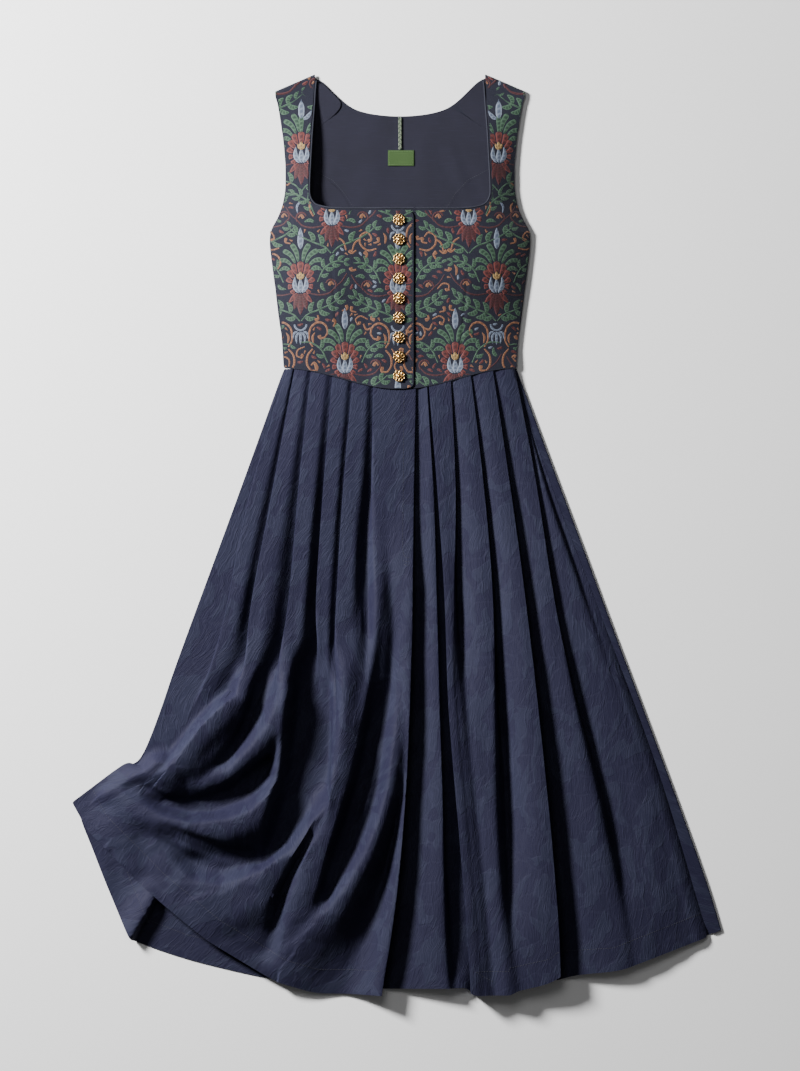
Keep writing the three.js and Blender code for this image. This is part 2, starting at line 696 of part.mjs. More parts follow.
function bodiceBackRows() {
  const half = [...BACK_TOP].reverse();
  const upper = BACK_UPPER.map((down) =>
    bothSides(
      half.map(({ share, top }) => {
        const y = lerp(top[1], YOKE_Y, down);
        const low = share * read(OUTLINE, YOKE_Y);
        const edge = share === 1 ? read(OUTLINE, y) : lerp(top[0], low, down);
        return new THREE.Vector3(edge, y, BACK_BODICE_LEVEL);
      }),
    ),
  );
  const lower = BACK_LEVELS.map((level) =>
    bothSides(
      half.map(({ share }) => {
        const gap = level === WAIST_SIDE_RISE ? SEAM_GAP / 2 : 0;
        return new THREE.Vector3(share * read(OUTLINE, level), level + gap, BACK_BODICE_LEVEL);
      }),
    ),
  );
  return [...upper, ...lower];
}

// The lining of the back, in panels. Seam between the centre and the side panels, from the waist up.
const LINING_SEAM = [
  [60, 29.6],
  [62, 150],
  [65.2, 215],
  [67, 253],
  [80, 274],
  [97, 293],
  [125, 308],
  [160, 318],
];
const LINING_MIDDLE_Y = [29.6, 150, 215, 253, 277, 300, 325, 345]; // of the centre panel, at the same rows
const LINING_TOP_EDGE = [
  [0, 382.5],
  [27, 384],
  [56, 389],
  [77, 397.5],
  [110, 368],
  [163, 345],
];
// Outer edge of the side panels, and the strap end: rows of [inner x, y, outer x, y]
const LINING_SIDE_OUTER = [
  [162.6, 29.6],
  [176, 154],
  [182.6, 215],
  [164.8, 254],
  [160.5, 278],
  [160, 296],
  [160, 310],
  [160, 318],
];
const LINING_STRAP_ROWS = [
  { inner: [113, 434], middle: [142, 421], outer: [172, 407.5] },
  { inner: [99, 420], middle: [133, 401], outer: [168.5, 385] },
  { inner: [88, 409], middle: [122, 384], outer: [166, 365] },
  { inner: [77, 397.5], middle: [110, 368], outer: [163, 345] },
];

const onLining = ([x, y]) => new THREE.Vector3(x, y, LINING_LEVEL);

function liningCentre() {
  const shares = LINING_TOP_EDGE.map((_, i) => i / (LINING_TOP_EDGE.length - 1));
  const rows = LINING_SEAM.map(([edgeX, edgeY], r) => {
    const half = shares.map((share) => {
      const y = lerp(LINING_MIDDLE_Y[r], edgeY, share * share);
      return onLining([edgeX * share, y]);
    });
    return bothSides(half);
  });
  rows.push(bothSides(LINING_TOP_EDGE.map(onLining)));
  return wall(inset(rows.reverse(), SEAM_GAP / 2), LINING_WALL);
}

// Rows on the wearer's left, or mirrored to the right.
function sided(side, rows) {
  if (side > 0) return rows;
  return rows.map((row) => row.map((p) => new THREE.Vector3(-p.x, p.y, p.z)).reverse());
}

function liningSide(side) {
  const shares = [0, 0.35, 0.7, 1];
  const rows = LINING_SEAM.slice(0, -1).map((inner, r) =>
    shares.map((share) => onLining(inner).lerp(onLining(LINING_SIDE_OUTER[r]), share)),
  );
  // The last row is the rest of the seam, out to the armhole
  const last = LINING_SEAM.slice(-2);
  rows[rows.length - 1] = shares.map((share) => onLining(last[0]).lerp(onLining(last[1]), share));
  return wall(inset(sided(side, rows.reverse()), SEAM_GAP / 2), LINING_WALL);
}

function liningStrap(side) {
  const rows = LINING_STRAP_ROWS.map(({ inner, middle, outer }) => [inner, middle, outer].map(onLining));
  return wall(inset(sided(side, rows), SEAM_GAP / 2), LINING_WALL);
}

// A cord along a line of points.
function cord(points, radius, segments) {
  const shape = new THREE.Shape().absarc(0, 0, radius, 0, 2 * Math.PI);
  const path = new THREE.CatmullRomCurve3(points, false, "centripetal");
  return new THREE.ExtrudeGeometry(shape, {
    steps: segments,
    curveSegments: 3,
    bevelEnabled: false,
    extrudePath: path,
  });
}

const PIPING_RADIUS = 1.3;
const PIPING_REACH = 2.2; // from the neck edge of the bodice to the middle of the piping
const PIPING_START = 21.5; // the wearer's left piping starts where the right front ends

// The piping follows the neck edge of a front, moved out from its points.
function neckPiping(side) {
  const rows = bodiceFrontRows(side);
  const from = SHOULDER_TURN.length - 1;
  const inner = STRAP_FRACTIONS.length - 1;
  const column = (c) => (side < 0 ? c : rows[0].length - 1 - c);
  const edge = [];
  for (let r = from; r < NECK_ROW_AT; r++) edge.push(rows[r][column(inner)]);
  for (let c = inner + 1; c < rows[0].length; c++) edge.push(rows[NECK_ROW_AT][column(c)]);
  const kept = edge.filter((p) => side < 0 || p.x >= PIPING_START);
  if (side > 0) {
    const y = NECK_ROW[NECK_ROW.length - 1][1];
    kept.push(new THREE.Vector3(PIPING_START, y, bodiceHeight(PIPING_START, y, 0)));
  }
  const line = kept.map((point, i) => {
    const along = unit(kept[Math.max(0, i - 1)], kept[Math.min(kept.length - 1, i + 1)]);
    const out = new THREE.Vector3(-along.y, along.x, 0).normalize().multiplyScalar(-side);
    const moved = point.clone().addScaledVector(out, PIPING_REACH);
    moved.z = Math.max(moved.z, LINING_TOP + SEAM_GAP + PIPING_RADIUS);
    return moved;
  });
  return cord(line, PIPING_RADIUS, 44);
}

// A filigree button: a dome in the middle of eight petals. Rings: radius, height, how deep the lobes cut.
const BUTTON_RINGS = [
  { radius: 0, height: 5.2, lobe: 0 },
  { radius: 2.4, height: 4.6, lobe: 0 },
  { radius: 3.2, height: 3.2, lobe: 0 },
  { radius: 6, height: 3.9, lobe: 0.06 },
  { radius: 8.2, height: 2.6, lobe: 0.1 },
  { radius: 8.8, height: 1.4, lobe: 0.12 },
  { radius: 8, height: 0, lobe: 0.12 },
  { radius: 0, height: 0, lobe: 0 },
];
const BUTTON_LOBES = 8;

function button() {
  const around = 2 * BUTTON_LOBES;
  const points = [];
  const faces = [];
  const ringStart = [];
  for (const { radius, height, lobe } of BUTTON_RINGS) {
    ringStart.push(points.length / 3);
    const count = radius === 0 ? 1 : around;
    for (let i = 0; i < count; i++) {
      const angle = (2 * Math.PI * i) / around;
      const reach = radius * (1 - (i % 2) * lobe);
      points.push(reach * Math.cos(angle), reach * Math.sin(angle), height);
    }
  }
  for (let ring = 1; ring < BUTTON_RINGS.length; ring++) {
    const [inner, outer] = [BUTTON_RINGS[ring - 1], BUTTON_RINGS[ring]];
    for (let i = 0; i < around; i++) {
      const next = (i + 1) % around;
      const a = ringStart[ring - 1] + (inner.radius ? i : 0);
      const b = ringStart[ring - 1] + (inner.radius ? next : 0);
      const c = ringStart[ring] + (outer.radius ? next : 0);
      const d = ringStart[ring] + (outer.radius ? i : 0);
      if (outer.radius) faces.push(a, d, c);
      if (inner.radius) faces.push(a, c, b);
    }
  }
  const geometry = new THREE.BufferGeometry();
  geometry.setAttribute("position", new THREE.Float32BufferAttribute(points, 3));
  geometry.setIndex(faces);
  geometry.computeVertexNormals();
  return geometry;
}

// The braid: a flat two-strand twist laid along the lining.
const BRAID = { fromY: 381, toY: 336.5, halfWidth: 2.8, halfHeight: 1.2, turns: 8, steps: 32, around: 8 };

function braid() {
  const rows = [];
  for (let i = 0; i <= BRAID.steps; i++) {
    const t = i / BRAID.steps;
    const pinch = 0.82 + 0.18 * Math.cos(2 * Math.PI * BRAID.turns * t);
    const row = [];
    for (let j = 0; j < BRAID.around; j++) {
      const angle = (2 * Math.PI * j) / BRAID.around;
      row.push(
        new THREE.Vector3(
          BRAID.halfWidth * pinch * Math.cos(angle),
          lerp(BRAID.fromY, BRAID.toY, t),
          LINING_TOP + SEAM_GAP + BRAID.halfHeight * (1 + Math.sin(angle)),
        ),
      );
    }
    rows.push(row);
  }
  const points = rows.flat();
  const faces = [];
  const at = (i, j) => i * BRAID.around + (j % BRAID.around);
  for (let i = 0; i < BRAID.steps; i++) {
    for (let j = 0; j < BRAID.around; j++) {
      faces.push(at(i, j), at(i, j + 1), at(i + 1, j + 1), at(i, j), at(i + 1, j + 1), at(i + 1, j));
    }
  }
  for (let j = 1; j < BRAID.around - 1; j++) {
    faces.push(at(0, 0), at(0, j + 1), at(0, j));
    faces.push(at(BRAID.steps, 0), at(BRAID.steps, j), at(BRAID.steps, j + 1));
  }
  const geometry = new THREE.BufferGeometry();
  geometry.setAttribute(
    "position",
    new THREE.Float32BufferAttribute(points.flatMap((p) => p.toArray()), 3),
  );
  geometry.setIndex(faces);
  geometry.computeVertexNormals();
  return geometry;
}

const LABEL = { width: 36.4, height: 21.7, thickness: 0.8, x: 1.4, y: 324.5 };

const group = new THREE.Group();
function add(name, geometry, finish) {
  const mesh = new THREE.Mesh(geometry, new THREE.MeshStandardMaterial(FINISH[finish]));
  mesh.name = name;
  group.add(mesh);
  return mesh;
}

add("skirt_front_left", wall(leftFrontRows(), SKIRT_WALL), "skirt");
add("skirt_front_right", wall(rightFrontRows(), SKIRT_WALL), "skirt");

add("skirt_back", wall(backSkirtRows(), SKIRT_WALL), "skirt");
add("bodice_back", wall(bodiceBackRows(), BODICE_WALL), "jacquard");
add("bodice_front_left", bodiceFront(1), "jacquard");
add("bodice_front_right", bodiceFront(-1), "jacquard");
add("lining_back_centre", liningCentre(), "lining");
for (const [side, word] of [[1, "left"], [-1, "right"]]) {
  add("lining_side_" + word, liningSide(side), "lining");
  add("lining_strap_" + word, liningStrap(side), "lining");
  add("neck_piping_" + word, neckPiping(side), "lining");
}

for (let i = 0; i < BUTTON_COUNT; i++) {
  const y = BUTTON_TOP_Y - i * BUTTON_PITCH;
  const reach = BUTTON_RADIUS;
  const [low, high] = [y - reach, y + reach].map((at) => bodiceHeight(BUTTON_X, at, 1));
  const mesh = add("button_" + (i + 1), button(), "button");
  mesh.rotation.x = Math.atan2(high - low, 2 * reach);
  mesh.position.set(BUTTON_X, y, (low + high) / 2 + BODICE_WALL / 2 + BUTTON_CLEARANCE);
}

const label = add("label", new THREE.BoxGeometry(LABEL.width, LABEL.height, LABEL.thickness), "label");
label.position.set(LABEL.x, LABEL.y, LINING_TOP + SEAM_GAP + LABEL.thickness / 2);
add("neck_braid", braid(), "braid");

export default group;
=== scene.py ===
"""A dirndl laid out on its back: flowered jacquard bodice, gold buttons, pleated navy skirt.

Lengths are in millimetres until a mesh is made, and in metres in Blender.
+X is the wearer's left, +Y the neck, +Z up off the table. Right and left are the wearer's.
"""

from __future__ import annotations

import json
import logging
import math
from dataclasses import dataclass, field
from enum import Enum
from typing import Callable, Iterable, Sequence

import bpy
from mathutils import Matrix, Vector, noise

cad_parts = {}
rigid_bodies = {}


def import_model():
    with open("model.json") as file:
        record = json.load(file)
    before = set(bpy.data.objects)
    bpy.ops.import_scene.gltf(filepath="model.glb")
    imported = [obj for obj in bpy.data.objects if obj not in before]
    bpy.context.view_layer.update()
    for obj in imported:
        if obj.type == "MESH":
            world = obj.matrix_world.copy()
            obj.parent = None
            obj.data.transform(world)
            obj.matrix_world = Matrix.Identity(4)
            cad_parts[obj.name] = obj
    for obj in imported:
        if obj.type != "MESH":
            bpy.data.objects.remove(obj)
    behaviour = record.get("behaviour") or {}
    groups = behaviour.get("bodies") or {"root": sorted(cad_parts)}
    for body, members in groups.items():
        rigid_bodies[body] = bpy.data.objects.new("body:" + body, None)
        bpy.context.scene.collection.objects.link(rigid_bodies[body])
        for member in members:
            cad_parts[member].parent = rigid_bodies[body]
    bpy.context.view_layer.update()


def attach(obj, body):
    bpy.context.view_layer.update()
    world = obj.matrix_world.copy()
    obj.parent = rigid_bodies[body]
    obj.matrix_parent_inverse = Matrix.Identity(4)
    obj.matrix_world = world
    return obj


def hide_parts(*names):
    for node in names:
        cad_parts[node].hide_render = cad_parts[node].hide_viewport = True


log = logging.getLogger("dirndl")
MM = 0.001

Piece = bpy.types.Object
Finish = bpy.types.Material
Pieces = dict[str, Piece]
Row = list[Vector]
Rows = list[Row]
Pair = tuple[float, float]
Colour = tuple[float, float, float]
Detail = Callable[[Vector, Pair, float], Vector]
Sharpness = Callable[[int], float]

BACK_SKIRT_LEVEL = 0.7
SKIRT_LEVEL = 2.4  # middle of the front skirt's cloth where it rests on the back
BODICE_LEVEL = 4.5  # middle of the front bodice where it rests on the lining
BACK_LEVEL = 0.9  # middle of the back bodice
LINING_LEVEL = 2.7
LINING_TOP = 3.3
SEAM_GAP = 0.3
ON_LINING = LINING_TOP + SEAM_GAP
WAIST_GAP = 0.6
PITCH = 2.0  # from one layer of a pressed pleat to the next
WAIST_HALF = 162.6
WAIST_RISE = 29.4
WAIST_CROWN = 8.0
SKIRT_LENGTH = 846.0
UNDERLAP = 20.0
FACING = 16.0
STRIP_RISE = 0.4
NEVER = 9.0  # a station past the hem
ALWAYS = -1.0


def lerp(a: float, b: float, t: float) -> float:
    """Returns the value t of the way from a to b."""
    return a + (b - a) * t


def clamp(value: float, low: float, high: float) -> float:
    """Returns value kept between low and high."""
    return max(low, min(high, value))


def smooth(value: float, low: float, high: float) -> float:
    """Returns 0 below low and 1 above high, eased between them."""
    t = clamp((value - low) / (high - low), 0.0, 1.0)
    return t * t * (3 - 2 * t)


def read(table: Sequence[Pair], at: float) -> float:
    """Returns the straight-line reading of a table of (at, value) rows."""
    if at <= table[0][0]:
        return table[0][1]
    for (a, va), (b, vb) in zip(table, table[1:]):
        if at <= b:
            return lerp(va, vb, (at - a) / (b - a))
    return table[-1][1]


def curve(values: Sequence[float], at: float) -> float:
    """Returns the value of evenly spaced numbers at a fractional place, on a smooth curve."""
    last = len(values) - 1
    k = int(clamp(math.floor(at), 0, last - 1))
    t = clamp(at - k, 0.0, 1.0)
    p1, p2 = values[k], values[k + 1]
    p0 = values[k - 1] if k > 0 else 2 * p1 - p2
    p3 = values[k + 2] if k + 2 <= last else 2 * p2 - p1
    m1, m2 = (p2 - p0) / 2, (p3 - p1) / 2
    t2, t3 = t * t, t * t * t
    return p1 * (2 * t3 - 3 * t2 + 1) + m1 * (t3 - 2 * t2 + t) + p2 * (3 * t2 - 2 * t3) + m2 * (t3 - t2)


def waist_y(x: float) -> float:
    """Returns the height of the front waist seam at x: a shallow point at the centre."""
    turn = math.pi * min(abs(x), WAIST_HALF) / WAIST_HALF
    return WAIST_RISE / 2 * (1 - math.cos(turn))


def valley_level(x: float, y: float) -> float:
    """Returns the level that the valleys of the front skirt rest at."""
    across = 1 - min(1.0, (abs(x) / WAIST_HALF) ** 4)
    return SKIRT_LEVEL + WAIST_CROWN * across * smooth(y, -210, 10)


def up(rise: float) -> Vector:
    """Returns a vector straight up."""
    return Vector((0, 0, rise))


def heading(line: Sequence[Sequence[float]], i: int) -> Vector:
    """Returns the direction of a line at one of its points."""
    a, b = line[max(0, i - 1)], line[min(len(line) - 1, i + 1)]
    return Vector([q - p for p, q in zip(a, b)]).normalized()


def beside(a: Sequence[float], b: Sequence[float], x: float, y: float) -> tuple[float, float, float, bool]:
    """Returns where a point lies beside a stretch of a line.

    Args:
        a: Start of the stretch.
        b: Its end.
        x: Place of the point across.
        y: Place of the point up.

    Returns:
        The share of the way along, kept to the stretch, the offset from there across and up,
        and whether the point is on the stretch's right.
    """
    dx, dy = b[0] - a[0], b[1] - a[1]
    t = clamp(((x - a[0]) * dx + (y - a[1]) * dy) / (dx * dx + dy * dy), 0.0, 1.0)
    ox, oy = x - a[0] - t * dx, y - a[1] - t * dy
    return t, ox, oy, dx * oy - dy * ox < 0


def only(piece: Piece) -> None:
    """Deselects everything, then selects one piece and makes it active."""
    for other in bpy.context.view_layer.objects:
        other.select_set(False)
    piece.select_set(True)
    bpy.context.view_layer.objects.active = piece


def apply_all(piece: Piece) -> None:
    """Applies each modifier of a piece in order."""
    only(piece)
    for modifier in list(piece.modifiers):
        bpy.ops.object.modifier_apply(modifier=modifier.name)


def edit(piece: Piece, operator: Callable[..., object], **settings: object) -> None:
    """Runs one operator on the whole mesh of a piece in edit mode."""
    only(piece)
    bpy.ops.object.mode_set(mode="EDIT")
    bpy.ops.mesh.select_all(action="SELECT")
    operator(**settings)
    bpy.ops.object.mode_set(mode="OBJECT")


def lay_map(piece: Piece, name: str, places: Sequence[Pair]) -> None:
    """Writes a UV map that gives each vertex its place."""
    layer = piece.data.uv_layers.new(name=name)
    for loop in piece.data.loops:
        layer.data[loop.index].uv = places[loop.vertex_index]


def mesh_piece(name: str, points: Iterable[Vector], faces: Sequence[Sequence[int]]) -> Piece:
    """Makes an object in the scene from points in millimetres and faces."""
    mesh = bpy.data.meshes.new(name)
    mesh.from_pydata([tuple(p * MM) for p in points], [], faces)
    piece = bpy.data.objects.new(name, mesh)
    bpy.context.scene.collection.objects.link(piece)
    return piece


class Wire:
    """A socket or a number in shader maths."""

    def __init__(self, dye: "Dye", source: object) -> None:
        """Keeps the node tree and the socket or number."""
        self.dye = dye
        self.source = source

    def _math(self, operation: str, *others: object) -> "Wire":
        """Adds a Math node for an operation on this value and others."""
        return self.dye.node("ShaderNodeMath", {"operation": operation}, [self, *others])

    def __add__(self, other: object) -> "Wire":
        """Adds."""
        return self._math("ADD", other)

    __radd__ = __add__

    def __sub__(self, other: object) -> "Wire":
        """Subtracts."""
        return self._math("SUBTRACT", other)

    def __rsub__(self, other: object) -> "Wire":
        """Subtracts from a number."""
        return Wire(self.dye, other)._math("SUBTRACT", self)

    def __mul__(self, other: object) -> "Wire":
        """Multiplies."""
        return self._math("MULTIPLY", other)

    __rmul__ = __mul__

    def over(self, low: float, high: float) -> "Wire":
        """Returns 0 below low and 1 above high, eased between them."""
        inputs = {"Value": self, "From Min": low, "From Max": high}
        return self.dye.node("ShaderNodeMapRange", {"interpolation_type": "SMOOTHSTEP"}, inputs)

    def wave(self) -> "Wire":
        """Returns the sine."""
        return self._math("SINE")

    def positive(self) -> "Wire":
        """Returns the absolute value."""
        return self._math("ABSOLUTE")

    def most(self, other: object) -> "Wire":
        """Returns the larger of two values."""
        return self._math("MAXIMUM", other)


class Dye:
    """Builds the node tree of one material."""

    def __init__(self, name: str) -> None:
        """Starts a material with one Principled shader."""
        self.material = bpy.data.materials.new(name)
        self.material.use_nodes = True
        self.tree = self.material.node_tree
        self.tree.nodes.clear()
        self.shader = self.tree.nodes.new("ShaderNodeBsdfPrincipled")
        out = self.tree.nodes.new("ShaderNodeOutputMaterial")
        self.tree.links.new(self.shader.outputs[0], out.inputs["Surface"])

    def feed(self, socket: bpy.types.NodeSocket, value: object) -> None:
        """Links or sets one input socket."""
        source = value.source if isinstance(value, Wire) else value
        if isinstance(source, bpy.types.NodeSocket):
            self.tree.links.new(source, socket)
        elif isinstance(source, tuple) and len(source) == 3 and socket.type == "RGBA":
            socket.default_value = (*source, 1.0)
        else:
            socket.default_value = source

    def node(
        self,
        kind: str,
        settings: dict[str, object] | None = None,
        inputs: dict[str, object] | Sequence[object] = (),
        output: int | str = 0,
    ) -> Wire:
        """Adds a node.

        Args:
            kind: The node's type.
            settings: Properties that are set first.
            inputs: Values or links, by socket name or in order.
            output: Which output is returned.

        Returns:
            That output.
        """
        made = self.tree.nodes.new(kind)
        for key, value in (settings or {}).items():
            setattr(made, key, value)
        pairs = inputs.items() if isinstance(inputs, dict) else enumerate(inputs)
        for key, value in pairs:
            self.feed(made.inputs[key], value)
        return Wire(self, made.outputs[output])

    def place(self, map_name: str | None = None) -> Wire:
        """Returns Object coordinates, or those of a UV map."""
        if map_name:
            return self.node("ShaderNodeUVMap", {"uv_map": map_name})
        return self.node("ShaderNodeTexCoord", output="Object")

    def moved(self, place: Wire, scale: Colour, turn: float) -> Wire:
        """Returns coordinates that are turned about Z and scaled."""
        inputs = {"Vector": place, "Rotation": (0, 0, turn), "Scale": scale}
        return self.node("ShaderNodeMapping", None, inputs)

    def axes(self, place: Wire) -> tuple[Wire, Wire, Wire]:
        """Returns the three numbers of a coordinate."""
        split = self.tree.nodes.new("ShaderNodeSeparateXYZ")
        self.feed(split.inputs[0], place)
        return tuple(Wire(self, out) for out in split.outputs)

    def cloud(self, place: Wire, scale: float, detail: float = 2.0, distortion: float = 0.0) -> Wire:
        """Returns a noise from 0 to 1."""
        inputs = {"Vector": place, "Scale": scale, "Detail": detail, "Distortion": distortion}
        return self.node("ShaderNodeTexNoise", None, inputs)

    def mix(self, share: object, first: object, second: object) -> Wire:
        """Returns a mix of two colours."""
        made = self.tree.nodes.new("ShaderNodeMix")
        made.data_type = "RGBA"
        self.feed(made.inputs["Factor"], share)
        self.feed(made.inputs[6], first)
        self.feed(made.inputs[7], second)
        return Wire(self, made.outputs[2])

    def ripple(self, value: Wire, step: float) -> Wire:
        """Returns the sine of a value that repeats at each step, in metres."""
        return (value * (2 * math.pi / step)).wave()

    def finish(
        self, colour: object, rough: object, height: object = None, depth: float = 0.0, **plain: float
    ) -> Finish:
        """Connects the shader.

        Args:
            colour: Base colour.
            rough: Roughness.
            height: Height of the relief, from 0 to 1.
            depth: Depth of the relief in metres.
            plain: Values that are the same all over, by socket name with _ for a space.

        Returns:
            The material.
        """
        self.feed(self.shader.inputs["Base Color"], colour)
        self.feed(self.shader.inputs["Roughness"], rough)
        if height is not None:
            bump = {"Height": height, "Distance": depth, "Strength": 1.0}
            self.feed(self.shader.inputs["Normal"], self.node("ShaderNodeBump", None, bump))
        for key, value in plain.items():
            self.shader.inputs[key.replace("_", " ")].default_value = value
        return self.material


@dataclass(frozen=True)
class Damask:
    """Navy cotton with crinkled leaves woven in, tone on tone."""

    name: str
    ground: Colour = (0.0120, 0.0118, 0.0290)
    leaf: Colour = (0.0150, 0.0165, 0.0345)
    slub: Colour = (0.028, 0.029, 0.054)
    thread: float = 0.0009
    relief: float = 0.0006

    def material(self) -> Finish:
        """Returns the finish, laid along the cloth."""
        dye = Dye(self.name)
        uv = dye.place("cloth")
        drift = dye.node("ShaderNodeTexNoise", None, {"Vector": uv, "Scale": 22.0, "Detail": 2.0}, "Color")
        drift = dye.node("ShaderNodeVectorMath", {"operation": "SCALE"}, {"Vector": drift, "Scale": 0.022})
        bent = dye.node("ShaderNodeVectorMath", {"operation": "ADD"}, [uv, drift])
        cracks = {"Vector": bent, "Scale": 34.0}
        ribs = dye.node("ShaderNodeTexVoronoi", {"feature": "DISTANCE_TO_EDGE"}, cracks)
        blade = dye.cloud(dye.moved(bent, (30, 17, 1), -0.6), 1.0, 2.0, 0.8).over(0.49, 0.53)
        vein = 1 - ribs.over(0.02, 0.07)
        rising = dye.cloud(dye.moved(bent, (620, 46, 1), -0.75), 1.0, 2.0)
        falling = dye.cloud(dye.moved(bent, (620, 60, 1), 0.9), 1.0, 2.0)
        hatch = dye.node("ShaderNodeMix", None, {"Factor": blade, "A": falling, "B": rising}).over(0.45, 0.68)
        crease = dye.cloud(dye.moved(bent, (210, 34, 1), -0.7), 1.0, 3.0, 0.4).over(0.52, 0.66)
        mottle = dye.cloud(uv, 24.0, 4.0)
        weave = dye.ripple(dye.axes(uv)[0], self.thread) * dye.ripple(dye.axes(uv)[1], self.thread)
        colour = dye.mix(blade * (0.55 + 0.5 * mottle), self.ground, self.leaf)
        colour = dye.mix(hatch * (0.16 + 0.34 * blade) + 0.1 * vein, colour, self.slub)
        height = 0.30 * hatch + 0.32 * crease + 0.26 * blade + 0.18 * mottle + 0.03 * weave - 0.12 * vein
        return dye.finish(colour, 0.66 + 0.16 * hatch, height, self.relief, Specular_IOR_Level=0.12)


@dataclass(frozen=True)
class JacquardGround:
    """Dark ground of the bodice cloth: a fine rib with lighter flecks."""

    name: str = "jacquard_ground"
    dark: Colour = (0.0085, 0.0092, 0.0180)
    fleck: Colour = (0.036, 0.038, 0.060)
    rib_step: float = 0.0012
    pick_step: float = 0.0016

    def material(self) -> Finish:
        """Returns the finish, on Object coordinates."""
        dye = Dye(self.name)
        place = dye.place()
        x, y, _ = dye.axes(place)
        rib = dye.ripple(y, self.rib_step)
        pick = (x * (2 * math.pi / self.pick_step) + rib * 1.6).wave()
        grain = dye.cloud(place, 900.0, 2.0)
        patch = dye.cloud(place, 25.0, 3.0)
        share = (rib * 0.5 + 0.5) * (pick * 0.5 + 0.5) * grain.over(0.35, 0.7) * (0.5 + 0.5 * patch)
        colour = dye.mix(share, self.dark, self.fleck)
        height = rib * 0.3 + pick * 0.2 + grain * 0.5
        return dye.finish(colour, 0.85, height, 0.0003, Sheen_Weight=0.08, Specular_IOR_Level=0.2)


class Yarn(Enum):
    """The weft colours that draw the flowers."""

    GREEN = ("green", (0.010, 0.031, 0.018), (0.068, 0.138, 0.080), 9.0)
    RUST = ("rust", (0.10, 0.036, 0.016), (0.30, 0.135, 0.064), 20.0)
    RED = ("red", (0.036, 0.005, 0.007), (0.150, 0.032, 0.026), 5.0)
    BLUE = ("blue", (0.060, 0.078, 0.120), (0.20, 0.235, 0.30), 8.0)
    GOLD = ("gold", (0.15, 0.09, 0.03), (0.38, 0.25, 0.10), 6.0)
    WINE = ("wine", (0.026, 0.004, 0.006), (0.066, 0.010, 0.013), 14.0)


@dataclass(frozen=True)
class FigureYarn:
    """Weft floats of one colour: lighter at the rim, with lines of shading across."""

    yarn: Yarn
    thread: float = 0.0009

    def material(self) -> Finish:
        """Returns the finish. The map has u along the shape and v across it."""
        word, deep, bright, bars = self.yarn.value
        dye = Dye("figure_" + word)
        u, v, _ = dye.axes(dye.place("shape"))
        place = dye.place()
        y = dye.axes(place)[1]
        rim = (v * 2 - 1).positive().over(0.25, 0.85)
        bar = (u * (math.pi * bars) + v * 3).wave().over(-0.3, 0.9)
        grain = dye.cloud(place, 700.0, 2.0)
        thread = (y * (2 * math.pi / self.thread) + grain * 2).wave()
        share = rim.most(bar * 0.55) * (0.65 + 0.5 * grain) + thread * 0.08
        colour = dye.mix(share, deep, bright)
        height = thread * 0.4 + bar * 0.4 + grain * 0.3
        return dye.finish(colour, 0.6, height, 0.00025, Sheen_Weight=0.15, Specular_IOR_Level=0.35)


@dataclass(frozen=True)
class PlainCloth:
    """A plain fine weave, for the lining, the piping and the label."""

    name: str
    tone: Colour
    light: Colour
    thread: float = 0.0008
    sheen: float = 0.02

    def material(self) -> Finish:
        """Returns the finish, on Object coordinates."""
        dye = Dye(self.name)
        place = dye.place()
        x, y, z = dye.axes(place)
        weave = dye.ripple(x + z, self.thread) * dye.ripple(y, self.thread)
        grain = dye.cloud(place, 600.0, 3.0)
        cloud = dye.cloud(place, 14.0, 3.0, 0.5)
        slub = dye.cloud(dye.moved(place, (40, 700, 40), 0.35), 1.0, 2.0).over(0.5, 0.8)
        share = cloud * 0.5 + slub * 0.35 + weave * 0.12 + grain * 0.2
        height = weave * 0.4 + grain * 0.5 + slub * 0.3
        colour = dye.mix(share, self.tone, self.light)
        return dye.finish(colour, 0.8, height, 0.0002, Sheen_Weight=self.sheen, Specular_IOR_Level=0.25)


@dataclass(frozen=True)
class AntiqueGold:
    """Cast gold-toned metal, dark in its hollows and bright where it is rubbed."""

    name: str = "antique_gold"
    bright: Colour = (0.86, 0.55, 0.22)
    aged: Colour = (0.20, 0.10, 0.035)

    def material(self) -> Finish:
        """Returns the finish, on Object coordinates."""
        dye = Dye(self.name)
        place = dye.place()
        spots = dye.cloud(place, 1400.0, 4.0)
        worn = dye.node("ShaderNodeNewGeometry", output="Pointiness").over(0.47, 0.53)
        share = worn * 0.7 + spots.over(0.35, 0.7) * 0.4
        colour = dye.mix(share, self.aged, self.bright)
        return dye.finish(colour, 0.5 - 0.22 * share, spots, 0.00015, Metallic=1.0)


@dataclass(frozen=True)
class PaintedShadeBack:
    """The back disc of a button, coloured near black: painted shade for the hollows seen through the pierced
    work.
    """

    name: str = "button_painted_shade"

    def material(self) -> Finish:
        """Returns the finish."""
        dye = Dye(self.name)
        grain = dye.cloud(dye.place(), 900.0, 2.0)
        colour = dye.mix(grain, (0.012, 0.007, 0.004), (0.045, 0.026, 0.012))
        return dye.finish(colour, 0.7, grain, 0.0001, Metallic=0.5)


@dataclass(frozen=True)
class Thread:
    """Sewing thread, or a strand of the braid."""

    name: str
    tone: Colour
    light: Colour
    plies: float = 60

    def material(self) -> Finish:
        """Returns the finish: fine plies across the strand."""
        dye = Dye(self.name)
        u, v, _ = dye.axes(dye.place("shape"))
        ply = (u * self.plies + v * 6.28).wave()
        colour = dye.mix(ply * 0.5 + 0.5, self.tone, self.light)
        return dye.finish(colour, 0.6, ply, 0.0001, Sheen_Weight=0.1)


